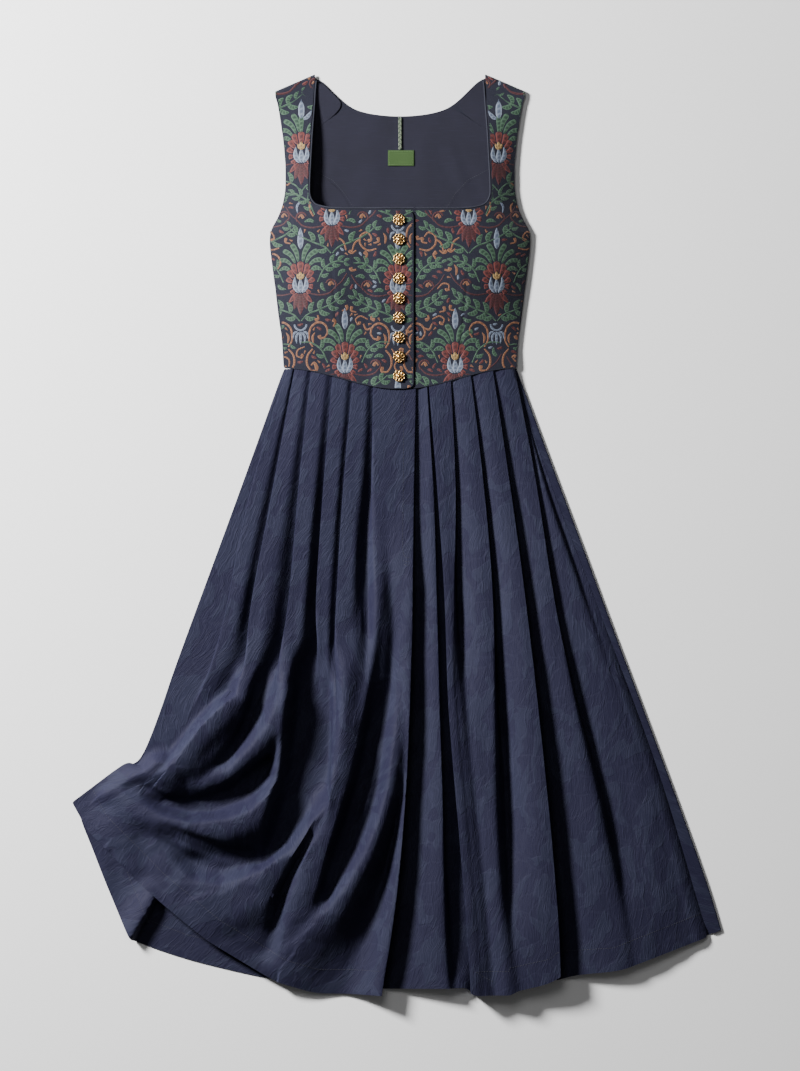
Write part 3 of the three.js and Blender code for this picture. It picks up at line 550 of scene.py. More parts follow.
@dataclass(frozen=True)
class Tabletop:
    """The plain pale surface that the dirndl lies on."""

    name: str = "tabletop"

    def material(self) -> Finish:
        """Returns the finish."""
        dye = Dye(self.name)
        grain = dye.cloud(dye.place(), 3.0, 2.0)
        return dye.finish(dye.mix(grain, (0.90, 0.90, 0.90), (0.92, 0.92, 0.92)), 0.9)


@dataclass
class Panel:
    """A panel of cloth, as rows of points on its middle from the top down, each from -X to +X.

    sharp gives the columns that are pressed to an edge, and keep leaves cells out.
    """

    name: str
    rows: Rows
    thickness: float
    levels: int = 2
    sharp: dict[int, Sharpness] = field(default_factory=dict)
    keep: Callable[[int, int], bool] = lambda r, c: True
    loose: Sequence[Sequence[float]] = ()

    def build(self, detail: Detail | None = None) -> Piece:
        """Makes the thin shell.

        Args:
            detail: Moves a point, given its place in millimetres, its place on the flat cloth
                and how loose the cloth is there.

        Returns:
            The shell as one closed mesh with a map named cloth, in metres.
        """
        wide, tall = len(self.rows[0]), len(self.rows)
        corners = [r * wide + c for r in range(tall - 1) for c in range(wide - 1) if self.keep(r, c)]
        faces = [(a, a + wide, a + wide + 1, a + 1) for a in corners]
        piece = mesh_piece(self.name, [p for row in self.rows for p in row], faces)
        self._lay_flat(piece)
        self._press(piece)
        if self.loose:
            loose = piece.data.attributes.new("loose", "FLOAT", "POINT")
            for i, value in enumerate(v for row in self.loose for v in row):
                loose.data[i].value = value
        if len(faces) < (wide - 1) * (tall - 1):
            edit(piece, bpy.ops.mesh.delete_loose)
        smoother = piece.modifiers.new("smooth", "SUBSURF")
        smoother.levels = smoother.render_levels = self.levels
        apply_all(piece)
        if detail:
            self._detail(piece, detail)
        shell = piece.modifiers.new("thickness", "SOLIDIFY")
        shell.thickness = self.thickness * MM
        shell.offset = 0
        apply_all(piece)
        only(piece)
        bpy.ops.object.shade_smooth_by_angle(angle=math.radians(45))
        return piece

    def _lay_flat(self, piece: Piece) -> None:
        """Writes the map of the flat cloth, in metres along the cloth."""
        wide = len(self.rows[0])
        flat: list[Pair] = []
        down = [0.0] * wide
        for r, row in enumerate(self.rows):
            along = [0.0]
            for a, b in zip(row, row[1:]):
                along.append(along[-1] + (b - a).length)
            if r:
                down = [far + (p - q).length for far, p, q in zip(down, row, self.rows[r - 1])]
            shift = (along[-1] - abs(row[-1].x - row[0].x)) / 2 * MM
            flat += [(far * MM - shift, -low * MM) for far, low in zip(along, down)]
        lay_map(piece, "cloth", flat)

    def _press(self, piece: Piece) -> None:
        """Creases the columns that are pressed."""
        if not self.sharp:
            return
        wide = len(self.rows[0])
        crease = piece.data.attributes.new("crease_edge", "FLOAT", "EDGE")
        for edge in piece.data.edges:
            a, b = sorted(edge.vertices)
            if b - a == wide and a % wide in self.sharp:
                crease.data[edge.index].value = self.sharp[a % wide](a // wide)

    def _detail(self, piece: Piece, detail: Detail) -> None:
        """Moves each point by the panel's folds and creases."""
        mesh = piece.data
        loose = mesh.attributes.get("loose")
        flat: dict[int, Pair] = {}
        layer = mesh.uv_layers["cloth"]
        for loop in mesh.loops:
            flat.setdefault(loop.vertex_index, tuple(layer.data[loop.index].uv))
        for vertex in mesh.vertices:
            slack = loose.data[vertex.index].value if loose else 0.0
            vertex.co = detail(vertex.co / MM, flat[vertex.index], slack) * MM


@dataclass(frozen=True)
class Crease:
    """A soft trough or ridge, placed from one point to another."""

    start: Pair
    end: Pair
    reach: float
    height: float

    def at(self, x: float, y: float) -> float:
        """Returns its height over a point."""
        t, ox, oy, _ = beside(self.start, self.end, x, y)
        far = math.hypot(ox, oy) / self.reach
        return self.height * math.exp(-far * far) * (0.35 + 0.65 * math.sin(math.pi * clamp(t, 0.08, 0.92)))


def creases(*rows: tuple[float, ...]) -> list[Crease]:
    """Returns creases from rows of their two ends, reach and height."""
    return [Crease(row[:2], row[2:4], *row[4:]) for row in rows]


def soft_creases(x: float, y: float, laid: Sequence[Crease]) -> float:
    """Returns the summed height of creases over a point."""
    return sum(crease.at(x, y) for crease in laid)


STATION_Y = (0, -152, -304, -457, -609, -761, -SKIRT_LENGTH)
WAVE_HEIGHT = (4, 11, 18, 23, 26, 28, 27)
TUCK = (12, 11, 8, 6, 5, 4, 4)
MOST_TUCK = 0.42
SOFT_CROWN, SOFT_FLANK, SOFT_FOOT, SOFT_SHOULDER, SOFT_ROOM = 3, 8, 13, 0.25, 30
LEFT_STATIONS = (0, 0.3, 0.6, 1, 1.4, 1.8, 2.2, 2.6, 3, 3.5, 4, 4.5, 5, 5.5, 6)


@dataclass(frozen=True)
class Fold:
    """One pleat from the waist to the hem, at seven stations.

    way is 1 where its edge points to +X and -1 where it points to -X.
    """

    way: int
    size: float
    x: Sequence[float]
    soft: float = NEVER
    gone: float = NEVER
    loosens: float = 0.0
    face: int = 2
    y: Sequence[float] = ()


LEFT_FOLDS = (
    Fold(1, 0.7, (38, 47, 51, 55, 60, 62, 66), soft=4.4, gone=6.4),
    Fold(-1, 1.0, (41, 53, 63, 68, 81, 94, 99)),
    Fold(1, 0.9, (71, 78, 76, 82, 98, 112, 120), soft=2.1, gone=3.2),
    Fold(1, 0.95, (99, 117, 130, 133, 137, 146, 157), soft=2.9, gone=5.2),
    Fold(1, 1.0, (130, 153, 174, 192, 208, 221, 224)),
    Fold(1, 0.5, (160, 190, 213, 243, 279, 308, 316), soft=3.2, gone=5.4),
    Fold(1, 0.12, (161, 200, 250, 300, 346, 380, 400), soft=ALWAYS, gone=3),
)
LEFT_SEAM_X = (158.5, 208.3, 265.6, 321.7, 370, 409.5, 431)
SIDE_X = (162.6, 219.4, 275.5, 330.5, 381, 428, 449)
LEFT_HEM = (
    (-40, -838), (97, -836), (100, -846), (156, -845), (162, -840), (221, -826),
    (224, -819), (304, -813), (339, -800), (431, -765), (449, -756),
)
RIGHT_HEM = ((-459, -577), (-437, -616), (-354, -700), (-270, -769), (-177, -826), (-118, -844), (-26, -846))
BACK_HEM = (
    (-459, -577), (-434, -631), (-409, -699), (-381, -761), (-376.5, -769.5), (-366, -773), (-308, -795),
    (-210, -819), (-118, -836), (-27, -838), (98, -833), (224, -815), (312, -806),
)
RIGHT_Y = (-152, -304, -389)
RIGHT_FOLDS = (
    Fold(0, 0, (-162.6, -228, -284, -315, -360, -388, -459), loosens=2.7, face=0, y=(-514, -525, -577)),
    Fold(-1, 0.5, (-157, -212, -242, -267, -326, -372, -452), loosens=2.7, face=2, y=(-508, -550, -590)),
    Fold(-1, 0.9, (-147, -180, -209, -220, -273, -339, -444), loosens=2.6, face=4, y=(-463, -546, -604)),
    Fold(-1, 1.0, (-124, -143, -156, -173, -200, -294, -432), loosens=2.6, face=4, y=(-496, -560, -625)),
    Fold(-1, 0.3, (-94, -108, -118, -119, -175, -294, -385), loosens=2.2, face=5, y=(-574, -619, -669)),
    Fold(-1, 1.1, (-66, -80, -89, -92, -92, -154, -193), loosens=2.8, face=6, y=(-560, -707, -813)),
    Fold(-1, 0.8, (-37, -39, -35, -32, -39, -67, -105), soft=0.9, loosens=0.9, face=6, y=(-560, -721, -844)),
    Fold(0, 0, (21.8, 18.8, 17.2, 15, 8, -6, -26), loosens=0.9, face=6, y=(-560, -714, -846)),
)
EDGE_SIZE = 0.8
LOOSENS_OVER = 1.3
SETTLING = 0.55
SETTLING_PASSES = 3
RIDGE_BLEND = 3
ROLL_BLEND = 4
OUT_OF_REACH = 160
STEEPENS_OVER = 50
STEEP_REACH = 1.8
BLUNTNESS = 2.6
CRUMPLE = (34, 13)  # folds of the crumple for each metre across and along
HIGHEST = 43.0  # limit of the rolls
INNER_CORNER = (-200, -640)  # the inside of the back shows beyond this


@dataclass(frozen=True)
class Ridge:
    """A ridge of the swept hem: its line with heights, and its reach to either side."""

    left: float
    right: float
    path: Sequence[tuple[float, float, float]]

    def at(self, x: float, y: float) -> float:
        """Returns its height over a point."""
        best = 0.0
        for a, b in zip(self.path, self.path[1:]):
            t, ox, oy, clockwise = beside(a, b, x, y)
            far = math.hypot(ox, oy) / (self.left if clockwise else self.right)
            best = max(best, lerp(a[2], b[2], t) * math.exp(-far * far))
        return best


RIDGES = (
    Ridge(10, 34, (
        (-216, -380, 26), (-226, -430, 30), (-265, -456, 33), (-295, -490, 32), (-325, -525, 27),
        (-345, -545, 16),
    )),
    Ridge(22, 20, (
        (-160, -380, 26), (-163, -455, 28), (-200, -496, 27), (-235, -530, 24), (-270, -546, 18),
        (-305, -550, 10),
    )),
    Ridge(20, 17, (
        (-172, -514, 14), (-178, -545, 24), (-200, -572, 27), (-240, -592, 27), (-285, -598, 24),
        (-330, -586, 18), (-375, -562, 12),
    )),
    Ridge(18, 24, (
        (-100, -530, 20), (-115, -572, 27), (-142, -618, 28), (-173, -660, 25), (-210, -686, 20),
        (-250, -688, 12),
    )),
    Ridge(10, 30, (
        (-90, -300, 24), (-91, -450, 28), (-91, -540, 29), (-94, -615, 29), (-110, -650, 26),
        (-132, -682, 20), (-152, -712, 8),
    )),
    Ridge(26, 12, ((-52, -240, 14), (-44, -330, 20), (-50, -420, 22), (-70, -500, 20))),
    Ridge(22, 18, ((-12, -600, 10), (-30, -650, 20), (-52, -702, 22), (-95, -735, 12))),
    Ridge(30, 24, ((19, -150, 8), (14, -389, 19), (8, -560, 22), (-6, -714, 24), (-26, -846, 22))),
)


def drape_height(x: float, y: float) -> float:
    """Returns the height of the swept hem over its valleys."""
    return sum(ridge.at(x, y) ** RIDGE_BLEND for ridge in RIDGES) ** (1 / RIDGE_BLEND)


@dataclass(frozen=True)
class Roll:
    """A full fold of the swept hem, sharper than its solid.

    path holds x, y, height, and the reach to its upper left and to its lower right.
    """

    path: Sequence[tuple[float, float, float, float, float]]
    steep: float = 0.0
    steep_until: float = 0.0

    def drawn_in(self, x: float, y: float) -> Pair:
        """Returns a point moved towards the crest, which makes the upper left side steep."""
        if not self.steep or y < self.steep_until - STEEPENS_OVER:
            return x, y
        for a, b in zip(self.path, self.path[1:]):
            dx, dy = b[0] - a[0], b[1] - a[1]
            if not 0 <= (x - a[0]) * dx + (y - a[1]) * dy < dx * dx + dy * dy:
                continue
            t, ox, oy, clockwise = beside(a, b, x, y)
            if clockwise:
                far = math.hypot(ox, oy) / (STEEP_REACH * lerp(a[3], b[3], t))
                eased = smooth(y, self.steep_until - STEEPENS_OVER, self.steep_until)
                share = self.steep * math.exp(-(far ** 4)) * eased
                return x - ox * share, y - oy * share
        return x, y

    def at(self, x: float, y: float) -> float:
        """Returns its height over a point."""
        best = 0.0
        for a, b in zip(self.path, self.path[1:]):
            t, ox, oy, clockwise = beside(a, b, x, y)
            if abs(ox) + abs(oy) > OUT_OF_REACH:
                continue
            side = 3 if clockwise else 4
            far = math.hypot(ox, oy) / lerp(a[side], b[side], t)
            best = max(best, lerp(a[2], b[2], t) * math.exp(-(far ** (2 if clockwise else BLUNTNESS))))
        return best


@dataclass(frozen=True)
class Hollow:
    """A deep valley between rolls. path holds x, y, half width and depth as a share."""

    path: Sequence[tuple[float, float, float, float]]

    def left_over(self, x: float, y: float) -> float:
        """Returns the share of the height that it leaves over a point."""
        most = 0.0
        for a, b in zip(self.path, self.path[1:]):
            t, ox, oy, _ = beside(a, b, x, y)
            far = math.hypot(ox, oy) / lerp(a[2], b[2], t)
            if far < 2:
                most = max(most, lerp(a[3], b[3], t) * math.exp(-(far ** 4)))
        return 1 - most


ROLLS = (
    Roll((
        (-218, -330, 26, 9, 26), (-222, -400, 31, 9, 30), (-227, -427, 35, 8, 34), (-250, -444, 39, 8, 46),
        (-275, -469, 41, 8, 56), (-300, -501, 39, 8, 56), (-325, -531, 31, 10, 42),
        (-341, -541, 22, 14, 28), (-360, -550, 14, 20, 26),
    )),
    Roll((
        (-152, -330, 31, 16, 14), (-158, -380, 33, 18, 15), (-165, -430, 35, 20, 18),
        (-182, -470, 36, 18, 32), (-206, -500, 34, 15, 30), (-236, -530, 28, 16, 24),
        (-270, -548, 21, 20, 20), (-300, -554, 14, 22, 20),
    )),
    Roll((
        (-158, -420, 30, 20, 14), (-161, -480, 35, 18, 15), (-164, -520, 36, 14, 16),
        (-169, -545, 37, 12, 18), (-184, -568, 37, 12, 32), (-207, -589, 36, 12, 46),
        (-240, -601, 34, 12, 44), (-290, -607, 31, 12, 36), (-330, -598, 26, 13, 30),
        (-370, -578, 19, 15, 28), (-400, -560, 13, 17, 26),
    )),
    Roll((
        (-99, -540, 32, 9, 18), (-107, -566, 36, 9, 20), (-126, -592, 37, 9, 26), (-146, -622, 37, 9, 44),
        (-166, -650, 35, 10, 54), (-191, -672, 33, 11, 66), (-215, -684, 29, 13, 90),
        (-250, -696, 24, 15, 90), (-290, -690, 19, 16, 70), (-315, -668, 15, 16, 50),
        (-332, -640, 11, 20, 40), (-352, -612, 8, 24, 40),
    )),
    Roll((
        (-89, -250, 24, 8, 36), (-90, -330, 28, 8, 46), (-92, -400, 33, 8, 60), (-95, -500, 37, 8, 58),
        (-97, -570, 36, 10, 48), (-102, -612, 35, 24, 40), (-113, -650, 33, 36, 38),
        (-130, -690, 30, 34, 44), (-144, -720, 26, 28, 56), (-154, -760, 21, 30, 64),
        (-164, -800, 16, 32, 60),
    ), 0.85, -560),
    Roll((
        (-38, -130, 12, 9, 20), (-36, -200, 18, 9, 24), (-34, -270, 21, 10, 26), (-31, -340, 24, 14, 24),
        (-36, -400, 25, 20, 20), (-46, -460, 22, 26, 16),
    )),
    Roll((
        (4, -400, 14, 16, 26), (-1, -450, 21, 15, 26), (-8, -500, 28, 14, 24), (-16, -560, 32, 14, 22),
        (-28, -602, 34, 14, 22), (-47, -650, 34, 15, 24), (-70, -690, 33, 15, 28), (-92, -722, 30, 16, 36),
        (-115, -742, 24, 18, 48), (-140, -775, 16, 20, 52),
    )),
    Roll((
        (21, -110, 13, 50, 30), (20, -180, 17, 54, 30), (19, -250, 20, 54, 30), (18, -330, 21, 44, 30),
        (15, -450, 24, 15, 30), (12, -560, 26, 14, 30), (6, -630, 27, 15, 30), (-2, -700, 27, 18, 30),
        (-12, -760, 26, 22, 30), (-24, -846, 24, 30, 30),
    )),
    Roll((
        (-316, -524, 25, 12, 24), (-345, -521, 27, 12, 32), (-366, -522, 25, 12, 34),
        (-388, -530, 21, 12, 34), (-404, -548, 14, 14, 34),
    )),
    Roll(((-372, -575, 15, 34, 50), (-400, -620, 12, 40, 50), (-385, -660, 11, 30, 44))),
    Roll((
        (-350, -700, 15, 26, 20), (-300, -738, 15, 24, 20), (-250, -776, 13, 24, 20),
        (-196, -812, 9, 24, 20),
    )),
)
HOLLOWS = (
    Hollow((
        (-114, -170, 17, 0.5), (-114, -230, 20, 0.75), (-115, -300, 23, 0.92), (-116, -400, 26, 1),
        (-121, -450, 29, 1), (-128, -500, 32, 1), (-136, -545, 33, 1), (-152, -590, 26, 1),
        (-168, -625, 19, 1), (-189, -656, 7, 1),
    )),
    Hollow((
        (-185, -517, 6, 0.8), (-204, -538, 11, 0.95), (-231, -564, 14, 0.97), (-263, -580, 14, 0.97),
        (-296, -584, 12, 0.85), (-330, -576, 10, 0.55), (-352, -562, 10, 0.15),
    )),
    Hollow((
        (-345, -608, 9, 0), (-310, -622, 10, 0.25), (-280, -634, 11, 0.4), (-250, -646, 12, 0.55),
        (-215, -652, 13, 0.75), (-198, -660, 8, 0.8),
    )),
    Hollow((
        (-178, -330, 11, 0.85), (-190, -390, 9, 0.8), (-205, -440, 8, 0.7), (-222, -480, 8, 0.5),
        (-238, -508, 9, 0.25), (-250, -530, 10, 0),
    )),
    Hollow((
        (-116, -600, 5, 0), (-124, -622, 6, 0.2), (-138, -648, 6, 0.3), (-152, -676, 7, 0.35),
        (-165, -706, 8, 0.5), (-175, -746, 9, 0.45), (-183, -778, 10, 0.3), (-187, -800, 10, 0),
    )),
    Hollow(((-46, -150, 6, 0), (-47, -220, 6, 0.4), (-48, -300, 6, 0.4), (-47, -360, 6, 0))),
    Hollow((
        (-4, -240, 14, 0), (-8, -300, 16, 0.1), (-16, -350, 16, 0.25), (-24, -400, 15, 0.45),
        (-32, -450, 14, 0.7), (-42, -500, 13, 0.78), (-54, -550, 13, 0.8), (-71, -605, 13, 0.8),
        (-87, -650, 12, 0.7), (-102, -700, 10, 0.4), (-110, -716, 10, 0.1),
    )),
)


INNER_FOLD = Roll((
    (-338, -696, 12, 20, 6), (-350, -720, 17, 24, 5), (-372, -758, 17, 24, 5), (-380, -772, 15, 20, 5),
))
LEFT_CREASES = creases(
    (30, -235, 20, -262, 7, -1.0), (33, -246, 52, -280, 6, 0.8), (18, -268, 32, -330, 8, 0.9),
    (30, -640, 62, -700, 9, -1.2), (22, -700, 58, -772, 10, 1.3), (40, -745, 80, -812, 9, -1.2),
    (118, -420, 128, -560, 12, -1.4), (140, -560, 152, -700, 12, 1.2), (230, -470, 258, -640, 13, -1.5),
    (240, -640, 276, -770, 14, 1.3), (300, -500, 338, -640, 14, -1.2), (330, -620, 378, -740, 15, 1.2),
    (170, -160, 205, -300, 12, -1.0), (96, -300, 104, -420, 9, 0.9),
)
INNER_CREASES = creases(
    (-286, -798, -262, -768, 4, 1.6), (-420, -640, -408, -690, 8, 1.5),
)
RIGHT_CREASES = creases(
    (-60, -120, -52, -230, 10, -1.0), (-20, -240, -8, -330, 9, -1.2), (-14, -330, -26, -470, 9, 1.2),
    (-130, -430, -146, -520, 10, -1.4), (-240, -480, -285, -520, 10, -2.0),
    (-300, -560, -392, -548, 9, -1.8), (-255, -560, -345, -575, 8, -1.6),
    (-200, -620, -300, -640, 14, 2.4), (-250, -650, -330, -668, 12, -1.8),
    (-150, -700, -240, -738, 14, 2.2), (-170, -748, -250, -766, 10, -1.6),
    (-60, -600, -80, -690, 10, -1.6), (-110, -742, -160, -800, 12, 1.8), (-60, -760, -76, -830, 10, -1.6),
    (-330, -610, -400, -590, 12, 2.0), (-186, -300, -200, -400, 10, 1.3),
)


def swept_height(x: float, y: float) -> float:
    """Returns the height of the rolls of the swept hem, with their hollows."""
    height = sum(roll.at(x, y) ** ROLL_BLEND for roll in ROLLS) ** (1 / ROLL_BLEND)
    for hollow in HOLLOWS:
        height *= hollow.left_over(x, y)
    return height


def fold_points(fold: Fold, x: float, station: float, tuck_room: float, open_room: float) -> list[Pair]:
    """Returns the four points of a fold's edge in a section, from -X to +X, as x and height.

    Args:
        fold: The pleat.
        x: Where its edge is.
        station: How far down the skirt.
        tuck_room: Space beside it on the side where it is tucked under.
        open_room: Space on its other side.
    """
    soft = smooth(station, fold.soft - 0.6, fold.soft + 0.6)
    gone = smooth(station, fold.gone - 1.2, fold.gone)
    full = 2 * PITCH
    crest = full + (curve(WAVE_HEIGHT, station) - full) * fold.size
    height = crest * (smooth(station, 0.2, 1.2) if fold.soft < 0 else 1.0)
    valley = height * 0.85 * gone
    tuck = min(curve(TUCK, station), MOST_TUCK * tuck_room)
    spread = clamp(open_room / SOFT_ROOM, 0.1, 1)
    layer = lerp(PITCH, SOFT_SHOULDER * (height - valley), soft)
    crown = fold.way * SOFT_CROWN * soft * spread
    points = [
        (x - crown, height),
        (x + crown, height - layer),
        (x - fold.way * lerp(tuck, -SOFT_FLANK * spread, soft), valley + layer * lerp(1, 0.7, soft)),
        (x - fold.way * lerp(tuck, -SOFT_FOOT * spread, soft), valley),
    ]
    return points if fold.way > 0 else points[::-1]


def face_points(before: list[Pair], after: list[Pair], count: int) -> list[Pair]:
    """Returns the points on the face between two folds, clear of what is tucked under it."""
    start, end = max(p[0] for p in before), min(p[0] for p in after)
    a, b = before[-1][1], after[0][1]
    points = []
    for i in range(count):
        t = (i + 0.5) / count
        fallen = smooth(t if a > b else 1 - t, 0.45, 1.0)
        points.append((lerp(start, end, t), lerp(max(a, b), min(a, b), fallen * 0.9)))
    return points


def folds_at(
    folds: Sequence[Fold], places: Sequence[float], station: float, start: float, end: float
) -> list[list[Pair]]:
    """Returns the points of each fold in a section, each with the room that its neighbours leave."""
    groups = []
    for i, fold in enumerate(folds):
        before = places[i] - (places[i - 1] if i else start)
        after = (places[i + 1] if i + 1 < len(places) else end) - places[i]
        rooms = (before, after) if fold.way > 0 else (after, before)
        groups.append(fold_points(fold, places[i], station, *rooms))
    return groups


def left_point(x: float, station: float, height: float) -> Vector:
    """Returns a point of the pleated side at x, a station down."""
    waist = waist_y(x) - SEAM_GAP / 2
    y = lerp(waist, read(LEFT_HEM, x), -curve(STATION_Y, station) / SKIRT_LENGTH)
    return Vector((x, y, height))


@dataclass
class Skirt:
    """The pleated skirt: two fronts that lap at the centre, and the back."""

    cloth: float = 1.1
    hem_turn: float = 34.0
    crumpled: Pair = (20, 260)  # how far below the waist the crumple begins and is full
    waves: tuple[Pair, ...] = ((1.0, 0.8), (2.3, 0.5))  # fineness and rise of the crumple
    lifted: Pair = (2.2, 6.0)  # levels where the cloth starts to leave the table and is clear of it
    sideways: float = 0.25

    def left_rows(self) -> Rows:
        """Returns the pleated rows of the front on the wearer's left."""
        rows = []
        for station in LEFT_STATIONS:
            places = [curve(fold.x, station) for fold in LEFT_FOLDS]
            lap = curve(RIGHT_FOLDS[-1].x, station)
            seam = curve(LEFT_SEAM_X, station) - SEAM_GAP / 2
            start = [(lap - UNDERLAP, 0.0), (lap, 0.0)]
            groups = [start, *folds_at(LEFT_FOLDS, places, station, lap, seam), [(seam, STRIP_RISE)]]
            section = list(start)
            for g in range(1, len(groups)):
                section += face_points(groups[g - 1], groups[g], 0 if g == 1 else 2) + groups[g]
            row = [left_point(x, station, height) for x, height in section]
            for point in row:
                point.z += valley_level(point.x, point.y)
            rows.append(row)
        return rows

    def guides(self, station: float) -> list[Vector]:
        """Returns where each guide of the right front is at a station."""
        found = []
        for fold in RIGHT_FOLDS:
            levels = (waist_y(fold.x[0]), *RIGHT_Y, *fold.y)
            found.append(Vector((curve(fold.x, station), curve(levels, station))))
        return found

    def right_shares(self) -> list[float]:
        """Returns where each column stands among the guides."""
        last = len(RIGHT_FOLDS) - 1
        shares = [0.0]
        for k in range(1, last + 1):
            start = 0.0 if k == 1 else k - 0.75
            end = float(last) if k == last else k - 0.25
            count = RIGHT_FOLDS[k].face
            shares += [lerp(start, end, i / (count + 1)) for i in range(1, count + 1)]
            if k < last:
                shares += [k + (m - 1.5) / 6 for m in range(4)]
        return [*shares, float(last)]

    def right_stations(self) -> list[float]:
        """Returns the stations of the right front's rows."""
        upper = [station for station in LEFT_STATIONS if station <= 3]
        return [*upper, *[3 + (i + 1) / 12 for i in range(36)]]

    def right_rows(self) -> tuple[Rows, list[list[float]]]:
        """Returns the rows of the front on the wearer's right, and how loose the cloth is.

        It is pleated above and swept aside below.
        """
        last = len(RIGHT_FOLDS) - 1
        shares = self.right_shares()
        sheet: Rows = []
        looseness: list[list[float]] = []
        for station in self.right_stations():
            guides = self.guides(station)
            places = [g.x for g in guides]
            edge_height = 2 * PITCH + (curve(WAVE_HEIGHT, station) - 2 * PITCH) * EDGE_SIZE
            inner = folds_at(RIGHT_FOLDS[1:last], places[1:last], station, places[0], places[last])
            groups = [[(places[0], 0.0)], *inner, [(places[last], edge_height)]]
            section = list(groups[0])
            for g in range(1, len(groups)):
                section += face_points(groups[g - 1], groups[g], RIGHT_FOLDS[g].face) + groups[g]
            row, loose_row = [], []
            for (x, height), share in zip(section, shares):
                k = min(last - 1, int(share))
                within = share - k
                spread = guides[k].lerp(guides[k + 1], within)
                begins = lerp(RIGHT_FOLDS[k].loosens, RIGHT_FOLDS[k + 1].loosens, within)
                loose = smooth(station, begins, begins + LOOSENS_OVER)
                place = Vector((lerp(x, spread.x, loose), spread.y))
                guide = lerp(waist_y(RIGHT_FOLDS[k].x[0]), waist_y(RIGHT_FOLDS[k + 1].x[0]), within)
                place.y += (waist_y(place.x) - SEAM_GAP / 2 - guide) * max(0.0, 1 - station)
                if station == 6:
                    place.y = read(RIGHT_HEM, place.x)
                drape = drape_height(place.x, place.y) * smooth(share, 0, 0.9)
                level = valley_level(place.x, place.y)
                row.append(Vector((place.x, place.y, level + lerp(height, drape, loose))))
                loose_row.append(loose)
            sheet.append(row)
            looseness.append(loose_row)
        slack = []
        for loose_row in looseness:
            row = [smooth(loose, 0.05, 0.9) * smooth(s, 0, 0.9) for loose, s in zip(loose_row, shares)]
            slack.append([*row, row[-1], row[-1]])
        settled = self._settled(sheet, looseness)
        return [self._faced(row, r) for r, row in enumerate(settled)], slack

    def _settled(self, sheet: Rows, looseness: list[list[float]]) -> Rows:
        """Evens out the heights of the loose cloth, as its weight does."""
        for _ in range(SETTLING_PASSES):
            before = [[p.z for p in row] for row in sheet]
            for r in range(1, len(sheet) - 1):
                for c in range(1, len(sheet[0]) - 1):
                    mean = (before[r - 1][c] + before[r + 1][c] + before[r][c - 1] + before[r][c + 1]) / 4
                    sheet[r][c].z = lerp(sheet[r][c].z, mean, SETTLING * looseness[r][c])
        return sheet

    def _faced(self, row: Row, r: int) -> Row:
        """Adds the facing that is turned under along the front edge."""
        edge = row[-1]
        inner = edge.x - FACING
        floor = valley_level(inner, edge.y) + PITCH
        above = row[0].z
        for a, b in zip(row[-2::-1], row[:0:-1]):
            if a.x <= inner:
                above = lerp(a.z, b.z, clamp((inner - a.x) / (b.x - a.x), 0.0, 1.0))
                break
        level = floor if r < 2 else max(floor, min(above, edge.z) - 1.5 * PITCH)
        return [*row, Vector((edge.x, edge.y, edge.z - PITCH)), Vector((inner, edge.y, level))]

    def back_rows(self) -> Rows:
        """Returns the rows of the back, which comes round to the front at the wearer's left."""
        rows = []
        strip = SKIRT_LEVEL + STRIP_RISE
        turn = ((1.05, BACK_SKIRT_LEVEL), (0.3, 1.0), (0.0, 1.75), (0.3, 2.5), (1.05, strip))
        columns = [*BACK_HEM, (SIDE_X[-1], LEFT_HEM[-1][1])]
        for station in LEFT_STATIONS:
            left = self.guides(station)[0]
            left.y -= SEAM_GAP / 2
            outline = curve(SIDE_X, station)
            down = -curve(STATION_Y, station) / SKIRT_LENGTH
            right = left_point(outline, station, 0).xy
            row = []
            for i, (hem_x, hem_y) in enumerate(columns[:-1]):
                across = i / (len(columns) - 1)
                place = left.lerp(right, across)
                place.x += (hem_x - lerp(columns[0][0], columns[-1][0], across)) * down
                place.y += (hem_y - lerp(columns[0][1], columns[-1][1], across)) * down
                row.append(Vector((place.x, place.y, BACK_SKIRT_LEVEL)))
            row += [left_point(outline - back, station, level) for back, level in turn]
            seam = curve(LEFT_SEAM_X, station) + SEAM_GAP / 2
            row.append(left_point(seam, station, strip))
            rows.append(row)
        return rows

    def _crinkle(self, laid: Sequence[Crease]) -> Detail:
        """Returns the detail of one front: the listed creases and the crumple of the cloth."""

        def move(point: Vector, flat: Pair, slack: float) -> Vector:
            """Raises a point by what lies over it."""
            if slack > 0:
                level = valley_level(point.x, point.y)
                swept = lerp(point.z, level + swept_height(point.x, point.y), slack)
                x, y = point.x, point.y
                for roll in ROLLS:
                    x, y = roll.drawn_in(x, y)
                across = Vector((x, y, 0)) - Vector((point.x, point.y, 0))
                point = Vector((point.x, point.y, clamp(swept, level - 0.2, HIGHEST))) + across * slack
            down = smooth(-point.y, *self.crumpled)
            place = Vector((flat[0] * CRUMPLE[0], flat[1] * CRUMPLE[1], 3.0))
            crumple = sum(noise.noise(place * finer) * rise for finer, rise in self.waves)
            lift = soft_creases(point.x, point.y, laid) + crumple * down
            room = smooth(point.z, *self.lifted)
            return point + Vector((self.sideways * crumple * down * room, 0, lift * room))

        return move

    def _turned_up(self, point: Vector, flat: Pair, slack: float) -> Vector:
        """Lays the crease into the inside of the back, where the swept front uncovers it."""
        if point.x > INNER_CORNER[0] or point.y > INNER_CORNER[1]:
            return point
        lift = INNER_FOLD.at(point.x, point.y) + soft_creases(point.x, point.y, INNER_CREASES)
        return point + up(lift)

